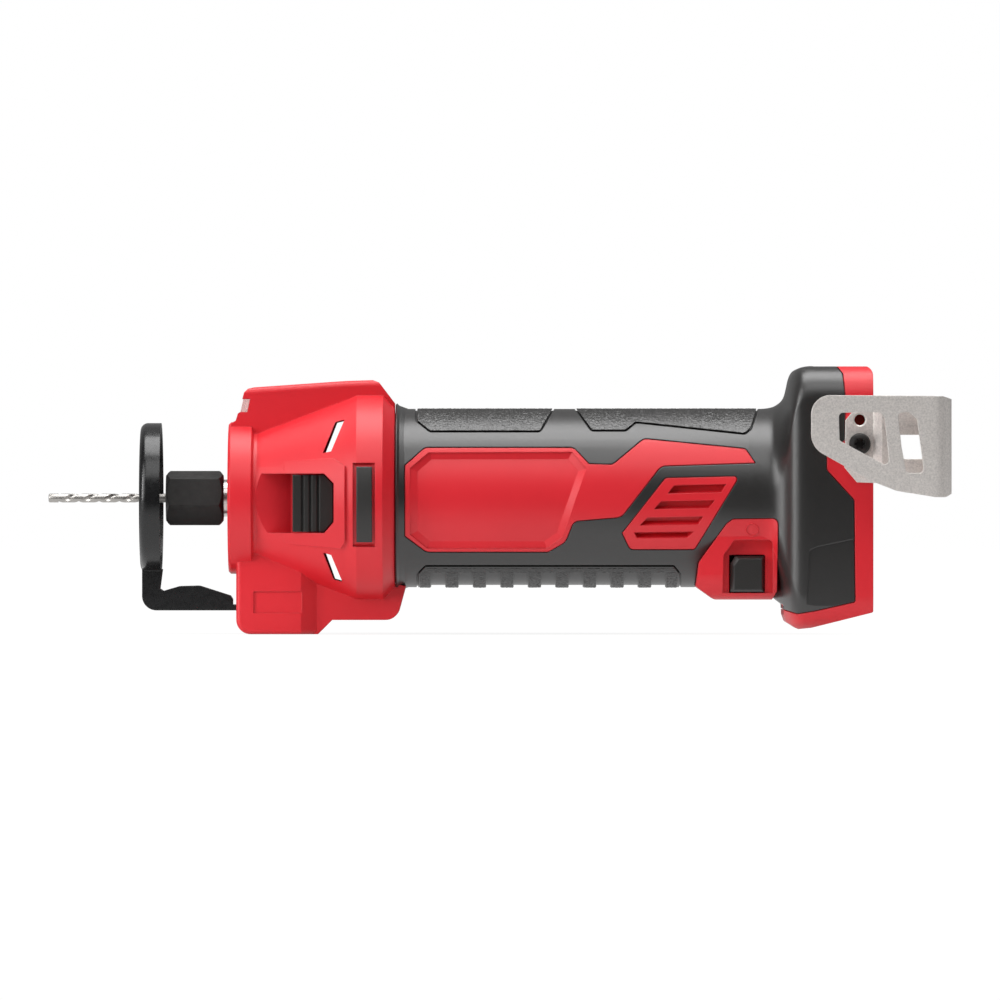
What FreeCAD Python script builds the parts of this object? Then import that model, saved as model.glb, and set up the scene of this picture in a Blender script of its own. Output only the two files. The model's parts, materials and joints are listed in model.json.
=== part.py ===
# Cordless drywall cut-out tool, built as the separate pieces of the real one.
#
# Frame: millimetres, X along the tool with the bit pointing to -X, Z up, Y across.
# The origin is the middle of the battery interface's rear face, on the spindle axis.
# The side at -Y is the tool's left side: it carries the belt clip and the spindle lock.

import FreeCAD, Part
import math
import os
import Sketcher

Vector = FreeCAD.Vector
ALONG_X = Vector(1, 0, 0)
ALONG_Y = Vector(0, 1, 0)
ALONG_Z = Vector(0, 0, 1)

# The driving dimensions, in millimetres. A name that ends in _ahead is a distance
# ahead of the battery interface's rear face, so its place is at X = -distance.
DRIVING_SIZES = {
    # spindle line
    "bit_tip_ahead": 295.7,
    "bit_diameter": 3.175,
    "bit_length": 63.5,
    "collet_nut_front_ahead": 253.4,
    "collet_nut_length": 20.7,
    "collet_nut_across_flats": 17.46,
    "spindle_nose_radius": 6.65,
    "spindle_nose_front_ahead": 232.6,
    "shaft_radius": 4.0,
    "bearing_clearance": 0.03,
    "bearing_outer_radius": 11.0,
    "bearing_width": 7.0,
    "front_bearing_ahead": 216.0,
    "rear_bearing_ahead": 84.0,
    "rear_bearing_radius": 9.5,
    "lock_collar_radius": 11.0,
    "lock_collar_ahead": 206.0,
    "lock_collar_length": 11.0,
    "lock_hole_radius": 2.7,
    "lock_hole_ahead": 200.4,
    # depth guide
    "foot_front_ahead": 262.5,
    "foot_depth": 7.4,
    "foot_radius": 27.0,
    "foot_hole_radius": 14.0,
    "foot_plate": 2.4,
    "strap_thickness": 2.1,
    "strap_half_width": 7.0,
    "strap_bottom_below": 40.4,
    "strap_tail_ahead": 188.0,
    "slot_clearance": 0.35,
    # nose housing
    "nose_front_ahead": 230.8,
    "nose_rear_ahead": 171.0,
    "collar_radius": 27.3,
    "collar_rear_ahead": 222.4,
    "flare_front_radius": 25.0,
    "flare_front_ahead": 220.4,
    "flare_rear_radius": 36.4,
    "flare_rear_ahead": 188.6,
    "band_radius": 38.0,
    "band_front_ahead": 184.6,
    "band_rear_ahead": 175.2,
    "nose_rear_radius": 33.6,
    "nose_wall": 2.7,
    "boss_radius": 14.5,
    "spigot_radius": 27.8,
    "upper_keel_width": 19.0,
    "lower_keel_front_width": 30.0,
    "lower_keel_rear_width": 22.0,
    # handle and battery housing
    "grip_radius": 32.1,
    "panel_recess_depth": 1.2,
    "skin_thickness": 1.6,
    "seam_gap": 0.3,
    "housing_wall": 2.6,
    "grip_skin_front_ahead": 170.7,
    "neck_front_ahead": 44.0,
    "block_half_width": 39.5,
    "block_half_height": 47.1,
    "bay_depth": 16.0,
    "bay_half_width": 28.0,
    "bay_top": 31.0,
    "pod_half_width": 29.5,
    "pod_bottom_below": 36.4,
    # motor
    "motor_radius": 25.0,
    "motor_front_ahead": 164.0,
    "motor_length": 62.0,
    "rotor_radius": 18.9,
    "fan_radius": 30.0,
    "fan_front_ahead": 186.0,
    # clip
    "clip_thickness": 1.6,
    "clip_fold_radius": 6.0,
    "clip_screw_ahead": 4.9,
    "clip_screw_height": 19.3,
    "clip_spare_hole_height": 27.9,
    "clip_insert_length": 8.0,
    "clip_insert_radius": 3.1,
    "clip_thread_radius": 2.0,
    # moving controls
    "lock_travel": 3.5,
    "switch_travel": 4.0,
    "button_clearance": 0.35,
    "lever_pin_radius": 1.25,
    "lever_pin_ahead": 220.0,
    "lever_pin_across": 11.1,
}

# Outlines seen from the left side, as (X, Z) in millimetres. A third number rounds
# that corner with its radius.
PANEL = [(-167.1, 11.6), (-160.0, 17.9, 3), (-106.9, 17.9, 3), (-101.4, 12.1), (-92.9, 11.8, 3),
         (-81.7, 21.1, 3), (-45.4, 17.5, 2), (-42.1, 12.6), (-75.7, 11.5, 4), (-89.9, -6.8, 4),
         (-106.9, -8.2, 3), (-109.9, -15.7, 4), (-115.9, -19.2, 3), (-159.5, -19.2, 4),
         (-167.1, -13.5)]
PANEL_RIM = [(-165.3, 10.6), (-158.8, 16.2), (-107.4, 16.4), (-102.4, 10.4),
             (-110.9, -14.0), (-116.5, -18.0), (-159.2, -18.0), (-165.3, -13.0)]
PANEL_FLOOR = [(-162.2, 9.2), (-157.4, 13.3), (-109.2, 13.4), (-105.8, 9.4),
               (-113.4, -12.0), (-117.6, -14.9), (-158.1, -14.9), (-162.2, -11.5)]
VENT_PANEL = [(-74.0, 7.1, 1.5), (-47.8, 7.7, 1), (-63.6, -18.3, 1.5), (-86.6, -18.3, 2), (-89.4, -12.5)]
LOUVRE_ROWS = [
    [(-71.0, 4.5), (-52.4, 4.9), (-54.1, 2.0), (-73.2, 1.6)],
    [(-75.7, -1.2), (-56.5, -0.8), (-58.5, -3.6), (-78.1, -4.0)],
    [(-80.4, -7.0), (-60.6, -6.6), (-62.3, -9.4), (-83.1, -9.7)],
    [(-85.3, -12.6), (-63.9, -12.2), (-66.1, -14.9), (-84.2, -15.2)],
]
SWITCH_POD = [(-50.0, -7.6, 2), (-33.9, -7.4, 2), (-34.1, -33.3), (-35.8, -36.4), (-56.5, -36.4, 2),
              (-63.1, -31.7, 1), (-62.0, -22.9, 3), (-52.2, -9.3, 1)]
SWITCH_RECESS = [(-49.4, -14.9, 2), (-35.6, -14.9, 1.8), (-35.6, -33.9), (-53.6, -33.9), (-53.2, -20.4, 2)]
BUTTON_CAP = [(-50.8, -33.6), (-38.8, -33.6), (-38.8, -20.7), (-49.0, -20.7), (-50.8, -23.4)]
BUTTON_FACE = [(-49.4, -32.8), (-39.5, -32.8), (-39.5, -21.8), (-47.6, -21.8), (-49.4, -24.4)]
REAR_FRAME = [(-13.3, 60.0), (-13.3, 47.9), (-10.7, 44.5), (-9.9, 37.1), (-9.9, 20.7), (-16.5, 15.4),
              (-16.5, 10.1, 2), (-6.7, -0.6, 2), (-6.3, -37.2, 1), (-20.5, -40.4), (-27.1, -41.5),
              (-32.1, -39.9), (-40.0, -60.0), (10.0, -60.0), (10.0, 60.0)]
BLOCK_SIDE = [(-60.0, 47.4), (0.0, 47.4, 3.5), (0.0, -40.8, 0.8), (-22.0, -46.4, 1.5), (-26.6, -46.9, 0.6),
              (-30.6, -44.4, 0.6), (-31.5, -42.0, 0.6), (-31.6, -38.3, 0.6), (-35.2, -35.7, 1), (-60.0, -34.0)]
SIDE_FACET = [(-24.2, -44.0), (-22.9, -18.5, 1.5), (-19.5, -17.2), (-3.0, -13.8), (-3.0, -44.0)]
TEXTURE_FRONT = [(-163.8, 50.0), (-163.6, 27.7, 2), (-158.4, 23.5, 2), (-118.6, 23.5, 2), (-103.4, 50.0)]
TEXTURE_REAR = [(-118.9, 50.0), (-100.6, 23.8, 2), (-88.0, 23.8, 2), (-84.4, 26.8, 1), (-45.4, 22.6, 2),
                (-43.0, 24.6, 1), (-33.9, 50.0)]
RIB_PAD = [(-164.0, -50.0), (-163.0, -27.0), (-160.0, -24.0, 1), (-70.8, -24.0, 1), (-68.3, -27.0),
           (-67.5, -50.0)]
CLIP_OUTER_LEG = [(-22.6, 36.6, 6.8), (-22.6, 18.0, 8), (-1.6, 6.2, 6), (7.8, 2.5, 8), (21.8, 0.3, 2),
                  (40.0, -1.2), (40.0, 36.2)]
CLIP_WINDOW = [(-12.8, 30.3, 1.5), (1.8, 30.5, 1.5), (3.5, 28.4, 1), (5.1, 12.6, 2), (3.3, 11.9, 0.5),
               (-12.5, 20.4, 0.6)]
CLIP_HOOK_SLOT = [(8.2, 30.3, 1.5), (11.9, 30.6, 1.5), (15.0, 28.1, 1), (17.5, 9.0, 1.5),
                  (11.3, 8.8, 1.5), (9.5, 18.0, 1)]
CLIP_INNER_LEG = [(-10.0, 27.7), (-7.9, 30.4), (22.0, 33.0, 2), (40.0, 33.0), (40.0, 4.5),
                  (0.0, 5.4), (-5.9, 5.6), (-10.4, 10.9)]
CLIP_INNER_HOLE = [(6.5, 22.5, 1), (21.0, 22.5, 1), (21.0, 13.9, 1), (6.5, 13.9, 1)]
UPPER_KEEL = [(-225.8, 35.6), (-225.2, 37.9), (-223.8, 39.3), (-221.6, 39.8), (-188.6, 42.1), (-178.9, 42.4), (-176.7, 41.6),
              (-171.0, 34.1), (-171.0, 30.0), (-229.6, 20.0), (-229.8, 26.9), (-228.2, 27.8),
              (-227.4, 30.4), (-226.6, 30.9)]
LENS = [(-226.5, 30.9), (-225.4, 35.6), (-223.0, 35.6), (-224.0, 30.9)]
LAMP_BAY = [(-232.0, 30.9), (-232.0, 35.6), (-223.0, 35.6), (-224.0, 30.9)]
LOWER_KEEL = [(-227.9, -20.0), (-227.9, -48.9), (-198.6, -48.9), (-193.5, -43.8), (-170.3, -43.8),
              (-167.0, -31.6), (-171.0, -30.8), (-171.0, -20.0)]
BARE_PLATE = [(-221.6, -33.5), (-204.3, -33.5), (-204.3, -41.3), (-221.6, -41.3)]
SLOT_OUTLINES = [
    [(-192.1, 27.2), (-188.9, 28.0), (-193.6, 16.7), (-196.5, 16.1)],
    [(-196.4, -19.6), (-193.6, -20.4), (-189.7, -30.0), (-192.8, -29.1)],
]
POCKET = [(-221.0, 8.7), (-196.0, 8.7), (-192.6, 5.2), (-192.6, -8.6), (-196.0, -12.5), (-221.0, -12.5)]
POCKET_TUB = [(-221.0, 11.0), (-195.0, 11.0), (-190.2, 6.2), (-190.2, -9.6), (-195.0, -14.8), (-221.0, -14.8)]
FAIRING = [(-210.5, 13.1), (-192.9, 14.3), (-188.6, 11.4), (-188.6, -15.7), (-190.1, -18.2), (-210.5, -16.4)]
LOCK_BUTTON = [(-207.4, 8.3), (-196.2, 8.3), (-193.0, 5.0), (-193.0, -8.4), (-196.2, -12.1), (-207.4, -12.1)]
PAD_RECESS = [(-185.7, 12.5), (-177.9, 12.5), (-177.9, -17.4), (-185.7, -17.4)]
PAD_INSERT = [(-184.5, 11.2), (-178.9, 11.2), (-178.9, -15.8), (-184.5, -15.8)]
GUSSET = [(-261.9, -25.6), (-254.7, -25.6), (-255.6, -32.6), (-254.4, -33.4), (-248.6, -31.7, 3),
          (-241.4, -31.5, 4), (-230.2, -35.1), (-229.4, -36.4), (-229.4, -40.4), (-261.9, -40.4, 5.2)]

POCKET_FLOOR = 20.0
BLADE_ROWS = (-9.0, -3.0, 3.0, 9.0)
CONTROLLER_SPAN = (-75.5, -52.5)
FAIRING_HEIGHT = 1.1
LOCK_BUTTON_FACE = 29.2
LOCK_BUTTON_BACK = 24.0
LEVER_BOTTOM = -44.4
LEVER_TOP = -34.6

# Clamshell screws, as (X, Z) of their axes; all go in from the right side.
HOUSING_SCREWS = [(-21.0, 34.0), (-21.0, -33.0), (-62.0, 22.0), (-92.0, 22.0), (-92.0, -22.0)]


class Size(float):
    """A number that remembers the sheet formula it was worked out from."""

    def __new__(cls, value, formula):
        number = super().__new__(cls, value)
        number.formula = formula
        return number

    def __add__(self, other):
        return Size(float(self) + float(other), f"({formula_of(self)} + {formula_of(other)})")

    def __radd__(self, other):
        return Size(float(other) + float(self), f"({formula_of(other)} + {formula_of(self)})")

    def __sub__(self, other):
        return Size(float(self) - float(other), f"({formula_of(self)} - {formula_of(other)})")

    def __rsub__(self, other):
        return Size(float(other) - float(self), f"({formula_of(other)} - {formula_of(self)})")

    def __mul__(self, other):
        return Size(float(self) * float(other), f"({formula_of(self)} * {formula_of(other)})")

    def __truediv__(self, other):
        return Size(float(self) / float(other), f"({formula_of(self)} / {formula_of(other)})")

    def __neg__(self):
        return Size(-float(self), f"(0 - {formula_of(self)})")


def formula_of(value):
    """The sheet formula of a size, or the plain number as text."""
    return value.formula if isinstance(value, Size) else f"{float(value):.4f}"


class Dimensions:
    """Reads the sheet's cells by name, each as a Size."""

    def __init__(self, sheet):
        self.sheet = sheet

    def __getattr__(self, name):
        return Size(self.sheet.get(name), "Dims." + name)


def make_sheet(doc):
    """Writes the driving dimensions into a spreadsheet, one named cell each."""
    sheet = doc.addObject("Spreadsheet::Sheet", "Dims")
    for row, (name, value) in enumerate(DRIVING_SIZES.items(), start=1):
        sheet.set(f"A{row}", name)
        sheet.set(f"B{row}", str(value))
        sheet.setAlias(f"B{row}", name)
    doc.recompute()
    return Dimensions(sheet)


# Helpers for bodies made of sketches and features

def new_body(doc, name):
    body = doc.addObject("PartDesign::Body", name)
    body.Label = name
    return body


def bound_sketch(body, role, points, name):
    """A closed outline of straight lines whose corners are bound to the sheet."""
    plane = next(item for item in body.Origin.OriginFeatures if item.Role == role)
    sketch = body.newObject("Sketcher::SketchObject", name)
    sketch.AttachmentSupport = [(plane, "")]
    sketch.MapMode = "FlatFace"
    count = len(points)
    for index in range(count):
        start = Vector(points[index][0], points[index][1], 0)
        end = Vector(points[(index + 1) % count][0], points[(index + 1) % count][1], 0)
        sketch.addGeometry(Part.LineSegment(start, end))
    for index in range(count):
        sketch.addConstraint(Sketcher.Constraint("Coincident", index, 2, (index + 1) % count, 1))
    for index, (across, up) in enumerate((point[0], point[1]) for point in points):
        for kind, value, letter in (("DistanceX", across, "x"), ("DistanceY", up, "y")):
            place = sketch.addConstraint(Sketcher.Constraint(kind, index, 1, float(value)))
            sketch.renameConstraint(place, f"{letter}{index}")
            if isinstance(value, Size):
                sketch.setExpression(f"Constraints.{letter}{index}", value.formula)
    return sketch


def circle_sketch(body, role, across, up, radius, name):
    """One circle whose centre and radius are bound to the sheet."""
    plane = next(item for item in body.Origin.OriginFeatures if item.Role == role)
    sketch = body.newObject("Sketcher::SketchObject", name)
    sketch.AttachmentSupport = [(plane, "")]
    sketch.MapMode = "FlatFace"
    sketch.addGeometry(Part.Circle(Vector(across, up, 0), ALONG_Z, float(radius)))
    for kind, value, letter in (("DistanceX", across, "x"), ("DistanceY", up, "y"), ("Radius", radius, "r")):
        numbers = (0, float(value)) if kind == "Radius" else (0, 3, float(value))
        place = sketch.addConstraint(Sketcher.Constraint(kind, *numbers))
        sketch.renameConstraint(place, "c" + letter)
        if isinstance(value, Size):
            sketch.setExpression(f"Constraints.c{letter}", value.formula)
    return sketch


def bind(feature, prop, value):
    """Sets a number, and ties it to the sheet where it comes from there."""
    if isinstance(value, Size):
        feature.setExpression(prop, value.formula)
    else:
        setattr(feature, prop, value)


def turn(body, points, name, kind="Revolution"):
    """A revolution, or a groove, about the X axis, of a profile of (x, radius) corners."""
    sketch = bound_sketch(body, "XZ_Plane", points, name + "_profile")
    feature = body.newObject("PartDesign::" + kind, name)
    feature.Profile = sketch
    feature.ReferenceAxis = (sketch, ["H_Axis"])
    feature.Angle = 360
    return feature


def extrude(body, sketch, length, name, kind="Pad", sides="One side", backwards=False):
    """A pad or a pocket of a sketch."""
    feature = body.newObject("PartDesign::" + kind, name)
    feature.Profile = sketch
    feature.SideType = sides
    feature.Reversed = backwards
    bind(feature, "Length", length)
    return feature


def polar(body, original, count, name):
    """Repeats a feature around the X axis."""
    axis = next(item for item in body.Origin.OriginFeatures if item.Role == "X_Axis")
    pattern = body.newObject("PartDesign::PolarPattern", name)
    pattern.Originals = [original]
    pattern.Axis = (axis, [""])
    pattern.Angle = 360
    pattern.Occurrences = count
    body.Tip = pattern
    return pattern


def edges_where(shape, test):
    """Names of the edges whose middle passes a test."""
    names = []
    for number, edge in enumerate(shape.Edges, start=1):
        middle = edge.valueAt((edge.FirstParameter + edge.LastParameter) / 2)
        if test(edge, middle):
            names.append(f"Edge{number}")
    return names


def dress(body, kind, size, test, name):
    """A fillet or a chamfer on the edges of the body's tip that pass a test."""
    base = body.Tip
    feature = body.newObject("PartDesign::" + kind, name)
    feature.Base = (base, edges_where(base.Shape, test))
    bind(feature, "Radius" if kind == "Fillet" else "Size", size)
    return feature


# Helpers for moulded shapes made from surfaces

def corner_arc(before, corner, after, radius):
    """Start, middle and end of the arc that rounds a corner."""
    back = (before - corner)
    forth = (after - corner)
    room = 0.48 * min(back.Length, forth.Length)
    back.normalize()
    forth.normalize()
    half = back.getAngle(forth) / 2
    reach = min(radius / math.tan(half), room)
    true_radius = reach * math.tan(half)
    inward = (back + forth).normalize()
    centre = corner + inward * (true_radius / math.sin(half))
    return corner + back * reach, centre - inward * true_radius, corner + forth * reach


def outline_wire(points, place):
    """A closed wire through (u, v) or (u, v, radius) corners; place(u, v) gives the point."""
    corners = [place(point[0], point[1]) for point in points]
    edges = []
    first = None
    last = None
    for index, point in enumerate(points):
        radius = point[2] if len(point) > 2 else 0
        if radius:
            start, middle, end = corner_arc(corners[index - 1], corners[index],
                                            corners[(index + 1) % len(points)], radius)
            arc = Part.Arc(start, middle, end).toShape()
        else:
            start = end = corners[index]
            arc = None
        if last is not None and (start - last).Length > 1e-6:
            edges.append(Part.LineSegment(last, start).toShape())
        if arc:
            edges.append(arc)
        first = first or start
        last = end
    if (first - last).Length > 1e-6:
        edges.append(Part.LineSegment(last, first).toShape())
    return Part.Wire(edges)


def slab(points, y_from, y_to):
    """A solid whose side view is the outline, between two Y places."""
    wire = outline_wire(points, lambda x, z: Vector(x, y_from, z))
    return Part.Face(wire).extrude(Vector(0, y_to - y_from, 0))


def plan(points, z_from, z_to):
    """A solid whose top view is the outline, between two heights."""
    wire = outline_wire(points, lambda x, y: Vector(x, y, z_from))
    return Part.Face(wire).extrude(Vector(0, 0, z_to - z_from))


def rod(radius, x_from, x_to, y=0.0, z=0.0):
    """A round bar along X."""
    return Part.makeCylinder(radius, x_to - x_from, Vector(x_from, y, z), ALONG_X)


def cross_rod(radius, y_from, y_to, x, z):
    """A round bar along Y."""
    return Part.makeCylinder(radius, y_to - y_from, Vector(x, y_from, z), ALONG_Y)


def block(x_range, y_range, z_range):
    """A box between two corners."""
    return Part.makeBox(x_range[1] - x_range[0], y_range[1] - y_range[0], z_range[1] - z_range[0],
                        Vector(x_range[0], y_range[0], z_range[0]))


def cone_shell(profile):
    """A solid turned about X from (x, radius) corners."""
    wire = outline_wire(profile, lambda x, r: Vector(x, 0, r))
    return Part.Face(wire).revolve(Vector(0, 0, 0), ALONG_X, 360)


def mirrored(shape):
    """The same shape on the other side of the tool."""
    return shape.mirror(Vector(0, 0, 0), ALONG_Y)


def piece(doc, name, shape):
    """Adds a finished shape as a sub-part of its own."""
    feature = doc.addObject("Part::Feature", name)
    feature.Shape = shape
    feature.Placement = FreeCAD.Placement()
    feature.Label = name
    return feature


def lay_along_x(feature, x, y=0.0, z=0.0):
    """Turns a primitive's own Z axis to X and places it, bound to the sheet."""
    feature.Placement = FreeCAD.Placement(Vector(x, y, z), FreeCAD.Rotation(ALONG_Y, 90))
    if isinstance(x, Size):
        feature.setExpression("Placement.Base.x", x.formula)


def round_bar(doc, name, radius, x, length):
    """A cylinder along X whose radius, place and length are bound to the sheet."""
    bar = doc.addObject("Part::Cylinder", name)
    bind(bar, "Radius", radius)
    bind(bar, "Height", length)
    lay_along_x(bar, x)
    return bar


def ring_bar(doc, name, outer, inner, x, length):
    """A tube along X, as one cylinder cut from another."""
    cut = doc.addObject("Part::Cut", name)
    cut.Base = round_bar(doc, name + "_outside", outer, x, length)
    cut.Tool = round_bar(doc, name + "_hole", inner, x, length)
    cut.Label = name
    return cut


# Handle, neck and battery housing

def neck_section(x, half_width, top, bottom, corner):
    """A rounded rectangle across the tool, as a wire of lines and arcs."""
    points = [(half_width, top, corner), (-half_width, top, corner),
              (-half_width, -bottom, corner), (half_width, -bottom, corner)]
    return outline_wire(points, lambda y, z: Vector(x, y, z))


def handle_envelope(dim, inset):
    """The outer form of grip, neck and battery block, drawn in by an inset all round."""
    grip = float(dim.grip_radius) - inset
    width = float(dim.block_half_width) - inset
    height = float(dim.block_half_height) - inset
    step_wide = width - grip
    step_high = height - grip
    neck = -float(dim.neck_front_ahead) + inset
    # Each row: distance behind the neck's front, share of the step outwards in width,
    # at the top and at the bottom, and the corner's share of the way from round to square.
    rows = [(0.0, 0.0, 0.0, 0.0, 0.0), (4.0, 0.0, 0.0, 0.0, 0.0), (7.5, 0.03, 0.02, 0.12, 0.04),
            (10.3, 0.14, 0.09, 0.50, 0.16), (12.3, 0.32, 0.20, 0.85, 0.34), (13.5, 0.48, 0.36, 0.97, 0.50),
            (14.2, 0.60, 0.54, 1.0, 0.62), (14.9, 0.71, 0.72, 1.0, 0.74), (16.0, 0.83, 0.87, 1.0, 0.85),
            (17.8, 0.94, 0.96, 1.0, 0.95), (20.4, 0.99, 1.0, 1.0, 0.99), (23.0, 1.0, 1.0, 1.0, 1.0)]
    square_corner = 12.0 - inset
    sections = []
    for back, wide, high, low, square in rows:
        half_width = grip + wide * step_wide
        corner = half_width * 0.995 + square * (square_corner - half_width * 0.995)
        sections.append(neck_section(neck + back, half_width, grip + high * step_high,
                                     grip + low * step_high, corner))
    neck_solid = Part.makeLoft(sections, True, False)
    last = neck + rows[-1][0]
    block_solid = Part.Face(sections[-1]).extrude(Vector(-last, 0, 0))
    grip_solid = Part.Face(sections[0]).extrude(Vector(-float(dim.nose_rear_ahead) - neck, 0, 0))
    envelope = grip_solid.fuse([neck_solid, block_solid])
    trim = slab(BLOCK_SIDE, -60, 60).fuse(block((-200, -60), (-60, 60), (-60, 60)))
    return envelope.common(trim).removeSplitter()


def switch_pod(dim):
    """The squarer red housing under the neck that holds the on-off button."""
    half = float(dim.pod_half_width)
    low = -float(dim.pod_bottom_below)
    section = [(-half, 2, 0), (-half, low, 9), (half, low, 9), (half, 2, 0)]
    wire = outline_wire(section, lambda y, z: Vector(-70, y, z))
    bar = Part.Face(wire).extrude(Vector(45, 0, 0))
    return bar.common(slab(SWITCH_POD, -60, 60))


def exposed_zones(grown):
    """Where the red housing shows through the black overmould, grown by a gap all round."""
    zones = []
    for outline in (PANEL, VENT_PANEL, REAR_FRAME, SWITCH_POD):
        face = Part.Face(outline_wire(outline, lambda x, z: Vector(x, -60, z)))
        if grown:
            face = face.makeOffset2D(grown)
        zones.append(face.extrude(Vector(0, 120, 0)))
    return zones[0].fuse(zones[1:])


def battery_bay(dim):
    """The bay that a slide-on battery enters from below, between two side rails."""
    depth = float(dim.bay_depth)
    half = float(dim.bay_half_width)
    top = float(dim.bay_top)
    bay = plan([(-depth, -half, 3), (-depth, half, 3), (5, half), (5, -half)], -60, top)
    rails = [block((-6.5, -3.0), (half - 3.2, half + 1), (-60, top - 9)),
             block((-6.5, -3.0), (-half - 1, -half + 3.2), (-60, top - 9))]
    return bay.cut(rails)


def screw_bosses(dim, inner):
    """Posts between the two housing halves, one round each clamshell screw."""
    posts = [cross_rod(4.4, -40, 40, x, z) for x, z in HOUSING_SCREWS]
    return [post.common(inner) for post in posts]


def screw_head_depth(x):
    """How far from the middle plane a screw's head sits."""
    return 18.0 if x < -30 else 26.0


def on_cylinder(outline, radius):
    """The outline laid on the left side of a round bar, each edge as one arc or line."""
    def place(x, z):
        return Vector(x, -math.sqrt(radius * radius - z * z), z)
    edges = []
    for index, (x, z) in enumerate(outline):
        next_x, next_z = outline[(index + 1) % len(outline)]
        middle = place((x + next_x) / 2, (z + next_z) / 2)
        if abs(z - next_z) < 0.3:
            edges.append(Part.LineSegment(place(x, z), place(next_x, next_z)).toShape())
        else:
            edges.append(Part.Arc(place(x, z), middle, place(next_x, next_z)).toShape())
    return Part.Wire(edges)


def panel_recess(dim):
    """The badge panel's recess: bevelled walls that fall to a floor which follows the grip."""
    surface = float(dim.grip_radius)
    floor = surface - float(dim.panel_recess_depth)
    past_floor = 0.25
    steps = [outline_wire(PANEL_RIM, lambda x, z: Vector(x, -surface - 8, z)),
             on_cylinder(PANEL_RIM, surface), on_cylinder(PANEL_FLOOR, floor - past_floor),
             outline_wire(PANEL_FLOOR, lambda x, z: Vector(x, -surface + 12, z))]
    left = Part.makeLoft(steps, True, True).cut(rod(floor, -200, -60))
    return [left, mirrored(left)]


def louvre_cuts():
    """The vent slots: each climbs on its way in, so that its floor hides the inside."""
    cuts = []
    for outline in LOUVRE_ROWS:
        face = Part.Face(outline_wire(outline, lambda x, z: Vector(x, -30.5, z)))
        mouth = face.extrude(Vector(0, -15, 0))
        throat = face.extrude(Vector(0, 12.0, 7.2))
        cuts.append(mouth.fuse(throat).removeSplitter())
    return cuts + [mirrored(cut) for cut in cuts]


def make_housing(doc, dim, outer, inner, zones):
    """Both halves of the red clamshell: a hollow handle, and the battery block behind it."""
    wall = float(dim.housing_wall)
    cavity_radius = float(dim.grip_radius) - float(dim.skin_thickness) - wall
    front = -float(dim.nose_rear_ahead)
    cavity = rod(cavity_radius, front - 1, -24)
    ribs = [rod(cavity_radius + 0.5, x, x + 2.4).cut(rod(float(dim.motor_radius) + 0.1, x - 1, x + 4))
            for x in (front + 12, -106.0)]
    shelf = block((CONTROLLER_SPAN[0], -40), (-16, 16), (-17, 9))
    wire_gap = block((-90, -40), (-7, 7), (14, 40))
    shaft_room = rod(float(dim.shaft_radius) + 1.0, -90, -40)
    ribs += [rod(cavity_radius + 0.5, x, x + 2.0).cut([shelf, wire_gap, shaft_room])
             for x in (CONTROLLER_SPAN[0] - 0.9, CONTROLLER_SPAN[1] - 4.5)]
    shell = inner.fuse([outer.common(zones), switch_pod(dim)])
    shell = shell.cut([cavity, battery_bay(dim)])
    shell = shell.fuse(ribs + screw_bosses(dim, inner))
    switch_floor = float(dim.pod_half_width) - 4.0
    gap = float(dim.button_clearance)
    channel = block((-50.8 - gap, -38.8 + gap), (-60, 60), (-33.6 - gap, -20.7 + gap))
    cuts = louvre_cuts() + panel_recess(dim) + [channel]
    cuts += [slab(SWITCH_RECESS, -60, -switch_floor), slab(SWITCH_RECESS, switch_floor, 60)]
    cuts += [block((-24.5, -15.5), (y - 0.4, y + 0.4), (-3, 13)) for y in BLADE_ROWS]
    for side in (-1, 1):
        for height in (dim.clip_screw_height, dim.clip_spare_hole_height):
            length = float(dim.clip_insert_length)
            start = float(dim.block_half_width) - length
            low, high = sorted((side * start, side * 60))
            cuts.append(cross_rod(float(dim.clip_insert_radius), low, high, -dim.clip_screw_ahead, height))
    for x, z in HOUSING_SCREWS:
        depth = screw_head_depth(x)
        cuts.append(cross_rod(1.75, -9.0, 0, x, z))
        cuts.append(cross_rod(1.9, 0, depth, x, z))
        cuts.append(cross_rod(3.7, depth, 60, x, z))
    for cutter in cuts:
        shell = shell.cut(cutter)
    piece(doc, "left_housing", shell.common(block((-300, 50), (-90, 0), (-90, 90))))
    piece(doc, "right_housing", shell.common(block((-300, 50), (0, 90), (-90, 90))))


def groove_ring(outline, radius, width):
    """A shallow channel that follows an outline, in the skin of the round grip."""
    face = Part.Face(outline_wire(outline, lambda x, z: Vector(x, 0, z)))
    inner = face.makeOffset2D(-width)
    band = face.cut(inner)
    channel = band.extrude(Vector(0, 120, 0))
    channel.translate(Vector(0, -60, 0))
    return channel.cut(rod(radius, -200, 0))


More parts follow.
